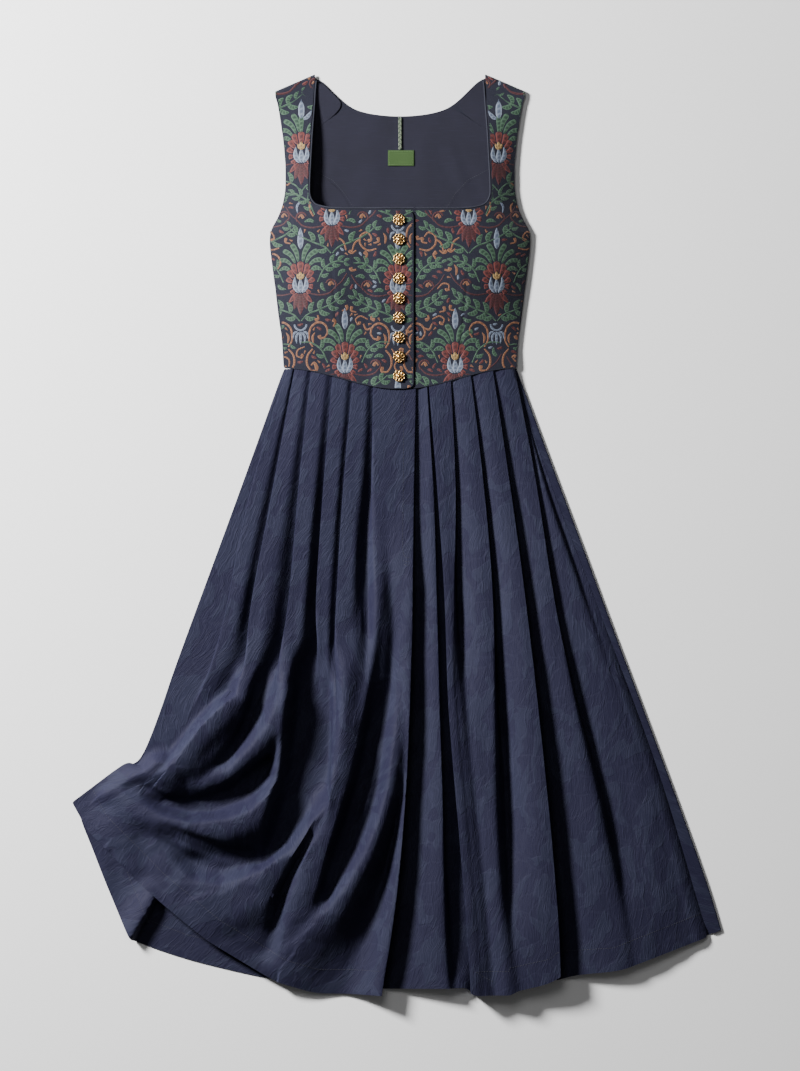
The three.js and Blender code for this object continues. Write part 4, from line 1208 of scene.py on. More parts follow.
    def build(self) -> dict[str, Piece]:
        """Builds the three panels.

        Returns:
            The panels by name.
        """
        damask = Damask("skirt_damask").material()
        left = Panel("skirt_front_left_cloth", self.left_rows(), self.cloth, sharp=self._left_edges())
        rows, slack = self.right_rows()
        right = Panel("skirt_front_right_cloth", rows, self.cloth, sharp=self._right_edges(), loose=slack)
        back = Panel("skirt_back_cloth", self.back_rows(), self.cloth, 3)
        made = {
            "skirt_front_left": left.build(self._crinkle(LEFT_CREASES)),
            "skirt_front_right": right.build(self._crinkle(RIGHT_CREASES)),
            "skirt_back": back.build(self._turned_up),
        }
        for node, piece in made.items():
            dress(piece, damask, "skirt", node)
        return made

    def _left_edges(self) -> dict[int, Sharpness]:
        """Returns the pressed columns of the left front."""
        sharp: dict[int, Sharpness] = {}
        column = 2
        for i, fold in enumerate(LEFT_FOLDS):
            column += 0 if i == 0 else 2
            for m in range(4):
                sharp[column + m] = self._edge(fold, LEFT_STATIONS)
            column += 4
        return sharp

    def _right_edges(self) -> dict[int, Sharpness]:
        """Returns the pressed columns of the right front."""
        sharp: dict[int, Sharpness] = {}
        column = 1
        stations = self.right_stations()
        for fold in RIGHT_FOLDS[1:-1]:
            column += fold.face
            for m in range(4):
                sharp[column + m] = self._edge(fold, stations, fold.loosens)
            column += 4
        edge = len(self.right_shares()) - 1
        sharp[edge] = sharp[edge + 1] = lambda r: 0.9
        return sharp

    def _edge(self, fold: Fold, stations: Sequence[float], loosens: float = NEVER) -> Sharpness:
        """Returns how sharp a fold's edge is at each row."""

        def sharpness(r: int) -> float:
            """Returns the crease of one row."""
            station = stations[min(r, len(stations) - 1)]
            ends = min(fold.soft, loosens)
            return lerp(0.95, 0.6, station / 6) * (1 - smooth(station, ends - 0.6, ends + 0.5))

        return sharpness


OUTLINE = (
    (29.4, 162.6), (70, 165), (112, 170), (154, 176), (196, 181.5), (220, 183), (238, 172),
    (255, 164.5), (280, 160), (315, 160), (350, 163), (385, 168.5), (418, 174.5),
)
CROWN = (
    (29, 8), (112, 16), (154, 20), (220, 22), (250, 22), (315, 18), (350, 14), (385, 8), (404, 2), (418, 0),
)
BUST_X, BUST_Y, BUST_REACH, BUST_RISE = 95, 155, 50, 5
LAP_RISE = 2.3
LAP_SLOPE = (-48, -28)
FRONT_EDGE = 19.0
BODICE_UNDERLAP = 18.0
STRAP_FRACTIONS = (0, 0.1, 0.35, 0.65, 0.9, 1)
SHOULDER = ((174.5, 418), (119, 442))
SHOULDER_TURN = ((0.9, 2.65), (1.5, 3.5), (2.9, 4.1), (9, BODICE_LEVEL))
STRAP_END = len(STRAP_FRACTIONS) - 1
STRAP_ROWS = (
    ((171.5, 402), (120.3, 422)), ((168.5, 385), (121.5, 402)), ((163, 350), (124.5, 362)),
    ((160, 315), (126.8, 320)), ((160, 285), (128.4, 288)), ((161.7, 268), (127.5, 270)),
)
NECK_AT = len(SHOULDER_TURN) + len(STRAP_ROWS)
NECK_ROW = (
    (166.7, 250), (163, 251), (152.5, 254), (139, 258), (128, 261.5), (124.5, 262), (119.5, 257.6),
    (103, 252.4), (86, 250.9), (68, 250.6), (48, 250.6), (28, 250.6), (8, 250.6),
)
WAIST_X = (162.6, 158, 146, 134, 121, 112, 102, 90, 76, 61, 45, 28, 10)
BODICE_LEVELS = (238, 220, 196, 175, 155, 135, 112, 90, 68, 50, 38)
BODICE_CLOTH = 1.5
DART = ((95, 167), (82, 18))
SHOULDER_EASE = (392, 408)


def bodice_height(x: float, y: float, lap: float) -> float:
    """Returns the level of the middle of the front bodice.

    Args:
        x: Place across.
        y: Place up.
        lap: 1 on the front that lies on top, else 0.
    """
    side = read(OUTLINE, y)
    across = 1 - min(1.0, (abs(x) / side) ** 4)
    far = math.hypot(abs(x) - BUST_X, y - BUST_Y) / BUST_REACH
    bust = BUST_RISE * math.exp(-far * far)
    pleats = (2 * PITCH - (BODICE_LEVEL - SKIRT_LEVEL)) * (1 - smooth(y - waist_y(x), 0, 30))
    return BODICE_LEVEL + read(CROWN, y) * across + bust + pleats + lap * LAP_RISE * smooth(x, *LAP_SLOPE)


def inside(x: float, y: float, outline: Sequence[Pair]) -> bool:
    """Returns whether a point lies within an outline."""
    found = False
    for (ax, ay), (bx, by) in zip(outline, (*outline[1:], outline[0])):
        if (ay > y) != (by > y) and x < (bx - ax) * (y - ay) / (by - ay) + ax:
            found = not found
    return found


@dataclass
class BodiceFront:
    """One front of the bodice with its strap. side is 1 for the wearer's left."""

    side: int
    cloth: float = BODICE_CLOTH

    @property
    def word(self) -> str:
        """Returns left or right."""
        return "left" if self.side > 0 else "right"

    @property
    def lap(self) -> int:
        """Returns 1 on the front that lies on top."""
        return 1 if self.side < 0 else 0

    def height(self, x: float, y: float) -> float:
        """Returns the level of the middle of this front."""
        return bodice_height(x, y, self.lap)

    def surface(self, x: float, y: float) -> float:
        """Returns the level of the cloth with its dart and its slight waves."""
        level = self.height(x, y)
        room = smooth(level, 4.6, 9)
        top, foot = ((self.side * p[0], p[1]) for p in DART)
        level += soft_creases(x, y, (Crease(top, foot, 2.2, -0.9), Crease(top, foot, 9, 0.5)))
        return level + noise.noise(Vector((x * 0.02, y * 0.03, 7.0 + self.side))) * 0.35 * room

    def flat_rows(self) -> list[list[tuple[float, ...]]]:
        """Returns rows from the shoulder to the waist, each from the side to the centre edge."""
        centre = -FRONT_EDGE if self.side < 0 else -BODICE_UNDERLAP
        neck = [*NECK_ROW, (centre, NECK_ROW[-1][1])]
        wide = len(neck)

        def across(ends: tuple[Pair, Pair], f: float) -> Pair:
            """Returns the point a share of the way across the strap."""
            return lerp(ends[0][0], ends[1][0], f), lerp(ends[0][1], ends[1][1], f)

        def filled(points: list[tuple[float, ...]]) -> list[tuple[float, ...]]:
            """Repeats the last point to the full width."""
            return points + [points[-1]] * (wide - len(points))

        rows = []
        for back, level in SHOULDER_TURN:
            points = [across(SHOULDER, f) for f in STRAP_FRACTIONS]
            rows.append(filled([(x, y - back, level) for x, y in points]))
        rows += [filled([across(ends, f) for f in STRAP_FRACTIONS]) for ends in STRAP_ROWS]
        rows.append(list(neck))
        waist_line = [*WAIST_X, centre]
        for level in BODICE_LEVELS:
            down = (neck[0][1] - level) / (neck[0][1] - WAIST_RISE)
            row = []
            for (neck_x, top), waist_x in zip(neck, waist_line):
                straight = lerp(neck_x, waist_x, down)
                edge = lerp(neck[0][0], WAIST_X[0], down)
                x = straight + (read(OUTLINE, level) - edge) * max(0.0, straight / edge) ** 3
                row.append((x, lerp(top, waist_y(x) + WAIST_GAP - SEAM_GAP / 2, down)))
            rows.append(row)
        rows.append([(x, waist_y(x) + WAIST_GAP - SEAM_GAP / 2) for x in waist_line])
        return rows

    def rows(self) -> Rows:
        """Returns the rows of the panel from -X to +X."""
        made = []
        for row in self.flat_rows():
            points = []
            for point in row:
                x = self.side * point[0]
                level = point[2] if len(point) > 2 else self.height(x, point[1])
                points.append(Vector((x, point[1], level)))
            made.append(points if self.side < 0 else points[::-1])
        return made

    def outline(self) -> list[Pair]:
        """Returns the outline of the panel as it lies."""
        rows = self.flat_rows()
        side_line = [row[0] for row in rows]
        centre = [row[-1] for row in rows[NECK_AT:-1]][::-1]
        neck = list(rows[NECK_AT][STRAP_END:-1])[::-1]
        inner = [row[STRAP_END] for row in rows[:NECK_AT]][::-1]
        return [(self.side * p[0], p[1]) for p in (*side_line, *rows[-1][1:], *centre, *neck, *inner)]

    def _settle(self, point: Vector, flat: Pair, slack: float) -> Vector:
        """Puts a point on the form, with its dart and the slight waves of the cloth."""
        x, y, _ = point
        return Vector((x, y, lerp(point.z, self.surface(x, y), 1 - smooth(y, *SHOULDER_EASE))))

    def build(self) -> Piece:
        """Builds the panel.

        Returns:
            The shell of this front.
        """
        rows = self.rows()
        wide = len(rows[0])

        def keep(r: int, c: int) -> bool:
            """Leaves out what would lie above the neckline."""
            return r >= NECK_AT or (c < STRAP_END if self.side < 0 else c >= wide - 1 - STRAP_END)

        panel = Panel(f"bodice_front_{self.word}_cloth", rows, self.cloth, 3, keep=keep)
        return panel.build(self._settle)


class Profile(Enum):
    """How the width of a woven shape runs along it."""

    LEAF = "leaf"
    LOBE = "lobe"
    STEM = "stem"
    CLUB = "club"

    def width(self, t: float) -> float:
        """Returns the share of the full width at t along the shape."""
        if self is Profile.LEAF:
            return max(0.02, math.sin(math.pi * t ** 0.8) ** 0.8)
        if self is Profile.LOBE:
            return max(0.05, math.sqrt(max(0.0, 1 - (2 * t - 1) ** 4)) * (0.45 + 0.55 * t))
        if self is Profile.STEM:
            return 0.75 + 0.25 * math.sin(math.pi * t)
        return 0.35 + 0.65 * t ** 2 if t < 0.97 else 0.6


@dataclass(frozen=True)
class Shape:
    """One shape of the flowered pattern, round the middle of its flower."""

    yarn: Yarn
    profile: Profile
    width: float
    line: Sequence[Pair]
    level: float = 0.0

    def spine(self, count: int) -> list[Pair]:
        """Returns points along its middle line, on a smooth curve."""
        last = len(self.line) - 1
        xs, ys = [p[0] for p in self.line], [p[1] for p in self.line]
        if last == 1:
            return [(lerp(xs[0], xs[1], i / count), lerp(ys[0], ys[1], i / count)) for i in range(count + 1)]
        return [(curve(xs, last * i / count), curve(ys, last * i / count)) for i in range(count + 1)]


Drawn = list[tuple[Shape, list[Pair]]]


def drawn(shapes: Sequence[Shape]) -> Drawn:
    """Returns shapes with the points along their middle lines."""
    found = []
    for shape in shapes:
        length = sum(math.dist(a, b) for a, b in zip(shape.line, shape.line[1:]))
        found.append((shape, shape.spine(int(clamp(length / 1.7, 5, 26)))))
    return found


def spiral(
    middle: Pair, start: float, turn: float, wide: float, narrow: float, count: int
) -> list[Pair]:
    """Returns points of a scroll that winds in round a middle, angles in degrees."""
    line = []
    for i in range(count):
        t = i / (count - 1)
        angle = math.radians(start + turn * t)
        reach = lerp(wide, narrow, t)
        line.append((middle[0] + reach * math.cos(angle), middle[1] + reach * math.sin(angle)))
    return line


def spray(line: Sequence[Pair], leaves: int, reach: float, width: float, stem: float = 2.6) -> list[Shape]:
    """Returns a leafy spray: a stem with leaves to both sides, smaller towards its end."""
    last = len(line) - 1
    xs, ys = [p[0] for p in line], [p[1] for p in line]
    shapes = [Shape(Yarn.GREEN, Profile.STEM, stem, line, 0.05)]
    for i in range(leaves):
        t = lerp(0.16, 0.98, i / (leaves - 1))
        x, y = curve(xs, last * t), curve(ys, last * t)
        back = max(0.0, t - 0.05)
        ahead = math.atan2(y - curve(ys, last * back), x - curve(xs, last * back))
        size = reach * (0.55 + 0.45 * math.sin(math.pi * (0.2 + 0.7 * t)))
        for side in (1, -1):
            turn = ahead + side * lerp(1.0, 0.45, t)
            bend = ahead + side * lerp(1.35, 0.8, t)
            middle = (x + 0.5 * size * math.cos(bend), y + 0.5 * size * math.sin(bend))
            tip = (x + size * math.cos(turn), y + size * math.sin(turn))
            shapes.append(Shape(Yarn.GREEN, Profile.LEAF, width * size / reach, ((x, y), middle, tip)))
    return shapes


def flower_shapes() -> tuple[list[Shape], list[Shape]]:
    """Returns the right half of the pattern round one flower: the flower, and what grows round it.

    It is an ordinary brocade unit: palmette, leaf fans, sprays and ball-ended scrolls.
    """
    green, rust, red, blue, gold, wine = Yarn.GREEN, Yarn.RUST, Yarn.RED, Yarn.BLUE, Yarn.GOLD, Yarn.WINE
    leaf, lobe, stem, club = Profile.LEAF, Profile.LOBE, Profile.STEM, Profile.CLUB
    flower = [
        Shape(red, lobe, 11, ((0, 7), (0, 25)), 0.25),
        Shape(gold, leaf, 6, ((0, -2), (0, 12)), 0.35),
        Shape(blue, leaf, 7.5, ((0, -19), (0, 1)), 0.35),
        Shape(wine, leaf, 10, ((0, -20), (0, -50)), 0.2),
        Shape(blue, leaf, 9.5, ((0, 42), (0, 72)), 0.1),
        Shape(green, lobe, 11, ((0, 22), (0, 48))),
    ]
    for start, end, width in (
        ((5, 7), (10.5, 22), 9.5), ((8, 2), (16.5, 13), 9.5), ((10, -4), (19, 2), 9.0),
        ((10, -9), (18, -10), 8.5), ((7, -14), (13, -20), 8.0),
    ):
        middle = (lerp(start[0], end[0], 0.5) + 1.0, lerp(start[1], end[1], 0.5) - 0.5)
        flower.append(Shape(red, lobe, width, (start, middle, end), 0.2))
    flower += [
        Shape(gold, leaf, 4, ((1.5, 0), (5, 8)), 0.3),
        Shape(blue, leaf, 6.5, ((2.5, -19), (8.0, -9), (7.6, 4)), 0.4),
        Shape(wine, leaf, 9, ((2, -20), (9, -42)), 0.15),
        Shape(red, leaf, 7, ((4, -19), (17, -33)), 0.1),
        Shape(green, lobe, 12, ((3, 24), (6, 38), (13, 50))),
        Shape(green, lobe, 11.5, ((7, 22), (14, 34), (25, 41))),
        Shape(green, lobe, 10.5, ((11, 18), (20, 26), (31, 27))),
        Shape(green, leaf, 8.5, ((14, 12), (22, 16), (31, 12))),
        Shape(blue, leaf, 8, ((1, 44), (6, 54), (10, 66))),
        Shape(blue, leaf, 7, ((2, 42), (9, 46), (15, 55))),
        Shape(green, leaf, 8, ((9, -30), (17, -27), (24, -17))),
    ]
    round_it = [
        *spray(((1, -58), (10, -49), (27, -42), (46, -33), (60, -22)), 6, 17, 9.5),
        *spray(((24, -4), (33, 14), (48, 24), (62, 24)), 5, 14, 7.5),
        Shape(blue, stem, 3.8, spiral((0, -62), 270, 85, 9, 8.5, 5)),
        Shape(blue, leaf, 5, ((0, -72), (0, -92))),
        Shape(blue, leaf, 4.5, ((1, -73), (6, -80), (5, -91))),
        Shape(blue, leaf, 4, ((3, -73), (9, -75), (11, -85))),
        Shape(rust, stem, 3.6, ((17, -94), (12, -84), (14, -68), (24, -60), (34, -63), (38, -73), (34, -81))),
        Shape(rust, club, 9, ((34, -81), (28, -82), (26, -78))),
        Shape(rust, stem, 3.4, ((37, -66), (44, -68), (48, -60))),
        Shape(rust, club, 8.5, ((46, -66), (49, -60), (45, -56))),
        Shape(rust, leaf, 4.2, ((18, -90), (17, -80), (21, -73))),
        Shape(rust, stem, 3.6, ((17, -97), (10, -106), (9, -118), (14, -127))),
        Shape(rust, club, 8.5, ((14, -127), (22, -127), (22, -120))),
        Shape(wine, stem, 3.0, ((14, -20), (28, -22), (41, -19), (49, -11))),
        Shape(wine, stem, 3.4, spiral((42, -8), -40, 200, 8.5, 6.5, 6)),
        Shape(rust, club, 7.5, ((47, -8), (43, -4), (40, -9))),
        Shape(rust, stem, 3.4, ((30, 44), (42, 42), (52, 50), (52, 62), (43, 67), (37, 61))),
        Shape(rust, club, 8, ((38, 62), (37, 57), (42, 55))),
        Shape(rust, stem, 3.2, ((52, 58), (60, 52), (64, 40))),
        Shape(rust, club, 7.5, ((58, 42), (64, 38), (68, 42))),
        Shape(wine, stem, 2.6, ((49, -11), (58, -3), (65, 8))),
        Shape(rust, club, 7, ((58, -44), (65, -42), (64, -36))),
    ]
    return flower, round_it


def filling_sprigs() -> list[list[Shape]]:
    """Returns the sprigs that fill the ground between flowers, largest first."""
    rust, red, blue, green = Yarn.RUST, Yarn.RED, Yarn.BLUE, Yarn.GREEN
    leaf, club = Profile.LEAF, Profile.CLUB
    scroll = ((-15, -9), (-6, 3), (6, 7), (14, 1), (11, -7), (4, -7))
    curl = ((-9, -4), (-2, 4), (6, 3), (7, -3))
    return [
        [Shape(rust, Profile.STEM, 3.4, scroll), Shape(rust, club, 7.5, ((6, -8), (3, -5), (5, -2)), 0.1)],
        spray(((-14, -4), (-4, 2), (8, 2), (15, -2)), 4, 10, 6.5, 2.2),
        spray(((-10, -2), (0, 1), (9, -1)), 3, 8, 5.5, 2.0),
        [Shape(rust, Profile.STEM, 2.8, curl), Shape(rust, club, 6, ((8, -4), (4, -5), (3, -2)), 0.1)],
        [Shape(green, leaf, 6.5, ((-7, -1), (0, 2), (8, -1)))],
        [Shape(red, leaf, 4.5, ((-5, 0), (0, 1), (5, 0)))],
        [Shape(blue, leaf, 4, ((-4, 0), (4, 0)))],
        [Shape(rust, club, 4.5, ((-2.5, 0), (2.5, 0)))],
    ]


@dataclass
class FlowerPattern:
    """The woven flowers of one front: figure yarns that stand a little proud of the ground."""

    front: BodiceFront
    flowers: Sequence[Pair] = (
        (-3, 152), (-139, 154), (135, 154), (-77, 42), (77, 42), (-95, 248), (96, 248), (-138, 336),
        (138, 336), (-3, 292), (-205, 250), (205, 250), (-3, -52), (-196, 436), (-76, 436), (76, 436),
        (196, 436), (-214, 39), (214, 39), (-139, -52), (136, -52),
    )
    cell: float = 1.6
    dome: float = 0.4
    sunk: float = 0.15
    filling_step: float = 6.5
    filled: tuple[float, float, float, float] = (3.0, 186, 20.0, 440)
    overlap: float = 0.25
    clear_of: dict[int, float] = field(default_factory=lambda: {1: 20.2, -1: 18.2})

    def build(self) -> Piece:
        """Builds every shape that lies on this front, as one piece.

        Returns:
            The piece, with one material for each yarn and a map named shape.
        """
        self.taken: set[tuple[int, int]] = set()
        self.points: list[Vector] = []
        self.faces: list[tuple[int, ...]] = []
        self.maps: list[Pair] = []
        self.yarns: list[Yarn] = []
        self.outline = self.front.outline()
        for ring in flower_shapes():
            shapes = drawn(ring)
            for flower in self.flowers:
                for shape, line in shapes:
                    centred = all(abs(p[0]) < 0.1 for p in shape.line)
                    for mirror in (1,) if centred else (1, -1):
                        self._weave([(shape, line)], flower, mirror, 0.0, self.overlap)
        self._fill()
        return self._piece()

    def _fill(self) -> None:
        """Fills the ground that is still bare with sprigs, alike on both fronts."""
        side, step = self.front.side, self.filling_step
        inner, outer, low, high = self.filled
        xs = [inner + step * i for i in range(math.ceil((outer - inner) / step))]
        ys = [low + step * i for i in range(math.ceil((high - low) / step))]
        for sprig in map(drawn, filling_sprigs()):
            for x, y in ((x, y) for y in ys for x in xs):
                if (round(side * x / self.cell), round(y / self.cell)) in self.taken:
                    continue
                lean = 3 * noise.noise(Vector((x * 0.02, y * 0.02, 3.0)))
                for quarter in range(4):
                    if self._weave(sprig, (side * x, y), side, lean + quarter * math.pi / 2, 0.0):
                        break

    def _weave(self, shapes: Drawn, at: Pair, mirror: int, turn: float, shared: float) -> bool:
        """Weaves shapes in where they have room.

        Args:
            shapes: What to weave, all or nothing.
            at: Their middle.
            mirror: -1 to mirror them.
            turn: How far they are turned.
            shared: The share of a shape that may lie on others, 0 for none with a margin.

        Returns:
            Whether they had room.
        """
        cosine, sine = math.cos(turn), math.sin(turn)
        spines = []
        for shape, line in shapes:
            turned = [(x * cosine - y * sine, x * sine, y * cosine) for x, y in line]
            spine = [(at[0] + mirror * across, at[1] + over + rest) for across, over, rest in turned]
            spines.append(spine)
            if shape.level == 0 or shared == 0:
                cells = self._cells(shape, spine, 1.35 if shared == 0 else 0.5)
                if len(cells & self.taken) > shared * len(cells):
                    return False
            if not any(inside(x, y, self.outline) for x, y in spine):
                return False
        for (shape, _), spine in zip(shapes, spines):
            self._strip(shape, spine, mirror)
            self.taken |= self._cells(shape, spine, 1.0)
        return True

    def _cells(self, shape: Shape, spine: Sequence[Pair], margin: float) -> set[tuple[int, int]]:
        """Returns the cells that a shape covers, wider by a margin."""
        count = len(spine) - 1
        cells = set()
        for i, (x, y) in enumerate(spine):
            along = heading(spine, i)
            half = margin * shape.width / 2 * shape.profile.width(i / count)
            steps = max(1, math.ceil(half / self.cell))
            for k in range(-steps, steps + 1):
                v = half * k / steps
                cells.add((round((x - along.y * v) / self.cell), round((y + along.x * v) / self.cell)))
        return cells

    def _strip(self, shape: Shape, spine: Sequence[Pair], mirror: int) -> None:
        """Adds one shape along its middle line, domed across, where it lies on the front."""
        count = len(spine) - 1
        first = len(self.points)
        across = (-1, -0.55, 0, 0.55, 1)
        lies_on = []
        for i, (x, y) in enumerate(spine):
            along = heading(spine, i)
            half = shape.width / 2 * shape.profile.width(i / count)
            for v in across:
                px, py = x - along.y * half * v * mirror, y + along.x * half * v * mirror
                lift = BODICE_CLOTH / 2 - self.sunk + shape.level + self.dome * (1 - v * v) * min(1.0, half)
                waved = 1 - smooth(py, *SHOULDER_EASE)
                level = lerp(self.front.height(px, py), self.front.surface(px, py), waved)
                self.points.append(Vector((px, py, level + lift)))
                self.maps.append((i / count, (v + 1) / 2))
                clear = (px - self.clear_of[self.front.side]) * self.front.side > 0
                lies_on.append(clear and inside(px, py, self.outline) and inside(px, py - 0.9, self.outline))
        wide = len(across)
        for i in range(count):
            for j in range(wide - 1):
                quad = (i * wide + j, (i + 1) * wide + j, (i + 1) * wide + j + 1, i * wide + j + 1)
                if all(lies_on[k] for k in quad):
                    self.faces.append(tuple(first + k for k in (quad if mirror < 0 else quad[::-1])))
                    self.yarns.append(shape.yarn)

    def _piece(self) -> Piece:
        """Returns the mesh of all shapes."""
        order = list(Yarn)
        piece = mesh_piece(f"bodice_flowers_{self.front.word}", self.points, self.faces)
        lay_map(piece, "shape", self.maps)
        for yarn in order:
            piece.data.materials.append(FigureYarn(yarn).material())
        for face, yarn in zip(piece.data.polygons, self.yarns):
            face.material_index = order.index(yarn)
        edit(piece, bpy.ops.mesh.delete_loose)
        bpy.ops.object.shade_smooth()
        return piece


BACK_TOP = (
    (1, (174.5, 418)), (0.85, (147, 429.9)), (0.68, (119, 442)), (0.55, (97.5, 420.3)),
    (0.43, (76, 398.5)), (0.3, (56, 389)), (0.15, (27, 384)), (0, (0, 382.5)),
)
YOKE_Y = 315
BACK_LEVELS = (280, 255, 238, 220, 196, 154, 112, 70, 29.4)
LINING_SEAM = ((60, 29.6), (62, 150), (65.2, 215), (67, 253), (80, 274), (97, 293), (125, 308), (160, 318))
LINING_MIDDLE_Y = (29.6, 150, 215, 253, 277, 300, 325, 345)
LINING_TOP_EDGE = ((0, 382.5), (27, 384), (56, 389), (77, 397.5), (110, 368), (163, 345))
LINING_SIDE = ((162.6, 29.6), (176, 154), (182.6, 215), (164.8, 254), (160.5, 278), (160, 296), (160, 310))
LINING_CREASES = creases(
    (-40, 372, -46, 250, 16, 0.35), (-8, 376, -14, 240, 13, -0.3), (34, 378, 40, 250, 15, 0.35),
    (70, 340, 96, 262, 9, 0.4), (84, 330, 118, 262, 7, -0.4), (-84, 330, -112, 268, 8, 0.35),
)
LINING_STRAP = (
    ((113, 434), (142, 421), (172, 407.5)), ((99, 420), (133, 401), (168.5, 385)),
    ((88, 409), (122, 384), (166, 365)), ((77, 397.5), (110, 368), (163, 345)),
)


def both_sides(half: Row) -> Row:
    """Returns a half row, given from the centre out, completed on both sides."""
    return [Vector((-p.x, p.y, p.z)) for p in half[:0:-1]] + half


def inset(rows: Rows, distance: float) -> Rows:
    """Returns a panel with its border moved in, which leaves the gap at its seams."""
    last, end = len(rows) - 1, len(rows[0]) - 1

    def pull(point: Vector, inner: Vector) -> Vector:
        """Moves a point towards another."""
        return point + (inner - point).normalized() * distance

    moved = []
    for row in rows:
        line = [p.copy() for p in row]
        line[0], line[end] = pull(row[0], row[1]), pull(row[end], row[end - 1])
        moved.append(line)
    first = [pull(a, b) for a, b in zip(moved[0], moved[1])]
    final = [pull(a, b) for a, b in zip(moved[last], moved[last - 1])]
    return [first, *moved[1:last], final]


@dataclass
class BackAndLining:
    """The back of the bodice and its lining, which shows in the neck opening."""

    lining_cloth: float = 0.9
    tones: tuple[Colour, Colour] = ((0.0062, 0.0060, 0.0125), (0.0160, 0.0155, 0.0325))
    uncovered: Pair = (235, 255)  # the lining shows above the neck edge
    billow: float = 0.15
    most_lift: Pair = (-0.3, 0.5)

    def back_rows(self) -> Rows:
        """Returns the rows of the back bodice."""
        half = BACK_TOP[::-1]
        rows = []
        for down in (0, 0.32, 0.66, 1):
            line = []
            for share, top in half:
                y = lerp(top[1], YOKE_Y, down)
                low = share * read(OUTLINE, YOKE_Y)
                x = read(OUTLINE, y) if share == 1 else lerp(top[0], low, down)
                line.append(Vector((x, y, BACK_LEVEL)))
            rows.append(both_sides(line))
        for level in BACK_LEVELS:
            y = level + (SEAM_GAP / 2 if level == WAIST_RISE else 0)
            side = read(OUTLINE, level)
            rows.append(both_sides([Vector((share * side, y, BACK_LEVEL)) for share, _ in half]))
        return rows

    def _on_lining(self, place: Pair) -> Vector:
        """Returns a point at the level of the lining."""
        return Vector((*place, LINING_LEVEL))

    def centre_rows(self) -> Rows:
        """Returns the rows of the centre panel of the lining."""
        shares = [i / (len(LINING_TOP_EDGE) - 1) for i in range(len(LINING_TOP_EDGE))]
        rows = [both_sides([self._on_lining(p) for p in LINING_TOP_EDGE])]
        for (edge_x, edge_y), middle in list(zip(LINING_SEAM, LINING_MIDDLE_Y))[::-1]:
            line = [self._on_lining((edge_x * s, lerp(middle, edge_y, s * s))) for s in shares]
            rows.append(both_sides(line))
        return inset(rows, SEAM_GAP / 2)

    def _sided(self, side: int, rows: Rows) -> Rows:
        """Returns rows of the wearer's left, or mirrored to the right."""
        if side > 0:
            return rows
        return [[Vector((-p.x, p.y, p.z)) for p in row[::-1]] for row in rows]

    def side_rows(self, side: int) -> Rows:
        """Returns the rows of a side panel of the lining."""
        shares = (0, 0.35, 0.7, 1)
        pairs = [*zip(LINING_SEAM[:-2], LINING_SIDE[:-1]), LINING_SEAM[-2:]]
        rows = [[self._on_lining(a).lerp(self._on_lining(b), s) for s in shares] for a, b in pairs]
        return inset(self._sided(side, rows[::-1]), SEAM_GAP / 2)

    def strap_rows(self, side: int) -> Rows:
        """Returns the rows of the lining at the end of a strap."""
        rows = [[self._on_lining(p) for p in row] for row in LINING_STRAP]
        return inset(self._sided(side, rows), SEAM_GAP / 2)

    def _ripple(self, point: Vector, flat: Pair, slack: float) -> Vector:
        """Lays soft folds into the lining where it shows."""
        shows = smooth(point.y, *self.uncovered)
        lift = soft_creases(point.x, point.y, LINING_CREASES) + self.billow * noise.noise(point * 0.05)
        return point + up(clamp(lift, *self.most_lift) * shows)

    def build(self) -> dict[str, Piece]:
        """Builds the back and the five lining panels.

        Returns:
            The panels by the node that each replaces.
        """
        ground = JacquardGround("jacquard_back").material()
        lining = PlainCloth("lining_cotton", *self.tones).material()
        back = Panel("bodice_back_cloth", self.back_rows(), BODICE_CLOTH).build()
        made = {"bodice_back": dress(back, ground, "jacquard", "bodice_back")}
        panels = {"lining_back_centre": self.centre_rows()}
        for side, word in ((1, "left"), (-1, "right")):
            panels["lining_side_" + word] = self.side_rows(side)
            panels["lining_strap_" + word] = self.strap_rows(side)
        for node, rows in panels.items():
            piece = Panel(node + "_cloth", rows, self.lining_cloth, 3).build(self._ripple)
            made[node] = dress(piece, lining, "lining", node)
        return made


def tube(name: str, line: Sequence[Vector], radius: float, sides: int = 8) -> Piece:
    """Makes a closed round cord along a line.

    Args:
        name: Name of the piece.
        line: Points in millimetres.
        radius: Its radius in millimetres.
        sides: Corners of its section.

    Returns:
        The piece, with a map named shape: along it in tens of millimetres, and round it.
    """
    points: list[Vector] = []
    maps: list[Pair] = []
    travelled = 0.0
    for i, here in enumerate(line):
        along = heading(line, i)
        across = along.cross(up(1)).normalized()
        rise = across.cross(along)
        travelled += (here - line[i - 1]).length if i else 0.0
        for j in range(sides):
            angle = 2 * math.pi * j / sides
            points.append(here + radius * (math.cos(angle) * across + math.sin(angle) * rise))
            maps.append((travelled / 10, j / sides))
    faces: list[tuple[int, ...]] = []
    for start in range(0, len(points) - sides, sides):
        corners = [(start + j, start + (j + 1) % sides) for j in range(sides)]
        faces += [(a, a + sides, b + sides, b) for a, b in corners]
    faces.append(tuple(range(sides)))
    faces.append(tuple(range(len(points) - 1, len(points) - sides - 1, -1)))
    piece = mesh_piece(name, points, faces)
    lay_map(piece, "shape", maps)
    edit(piece, bpy.ops.mesh.normals_make_consistent, inside=False)
    bpy.ops.object.shade_smooth_by_angle(angle=math.radians(60))
    return piece


def joined(name: str, pieces: Sequence[Piece]) -> Piece:
    """Joins pieces into one with a new name."""
    only(pieces[0])
    for piece in pieces[1:]:
        piece.select_set(True)
    bpy.ops.object.join()
    whole = bpy.context.view_layer.objects.active
    whole.name = whole.data.name = name
    return whole


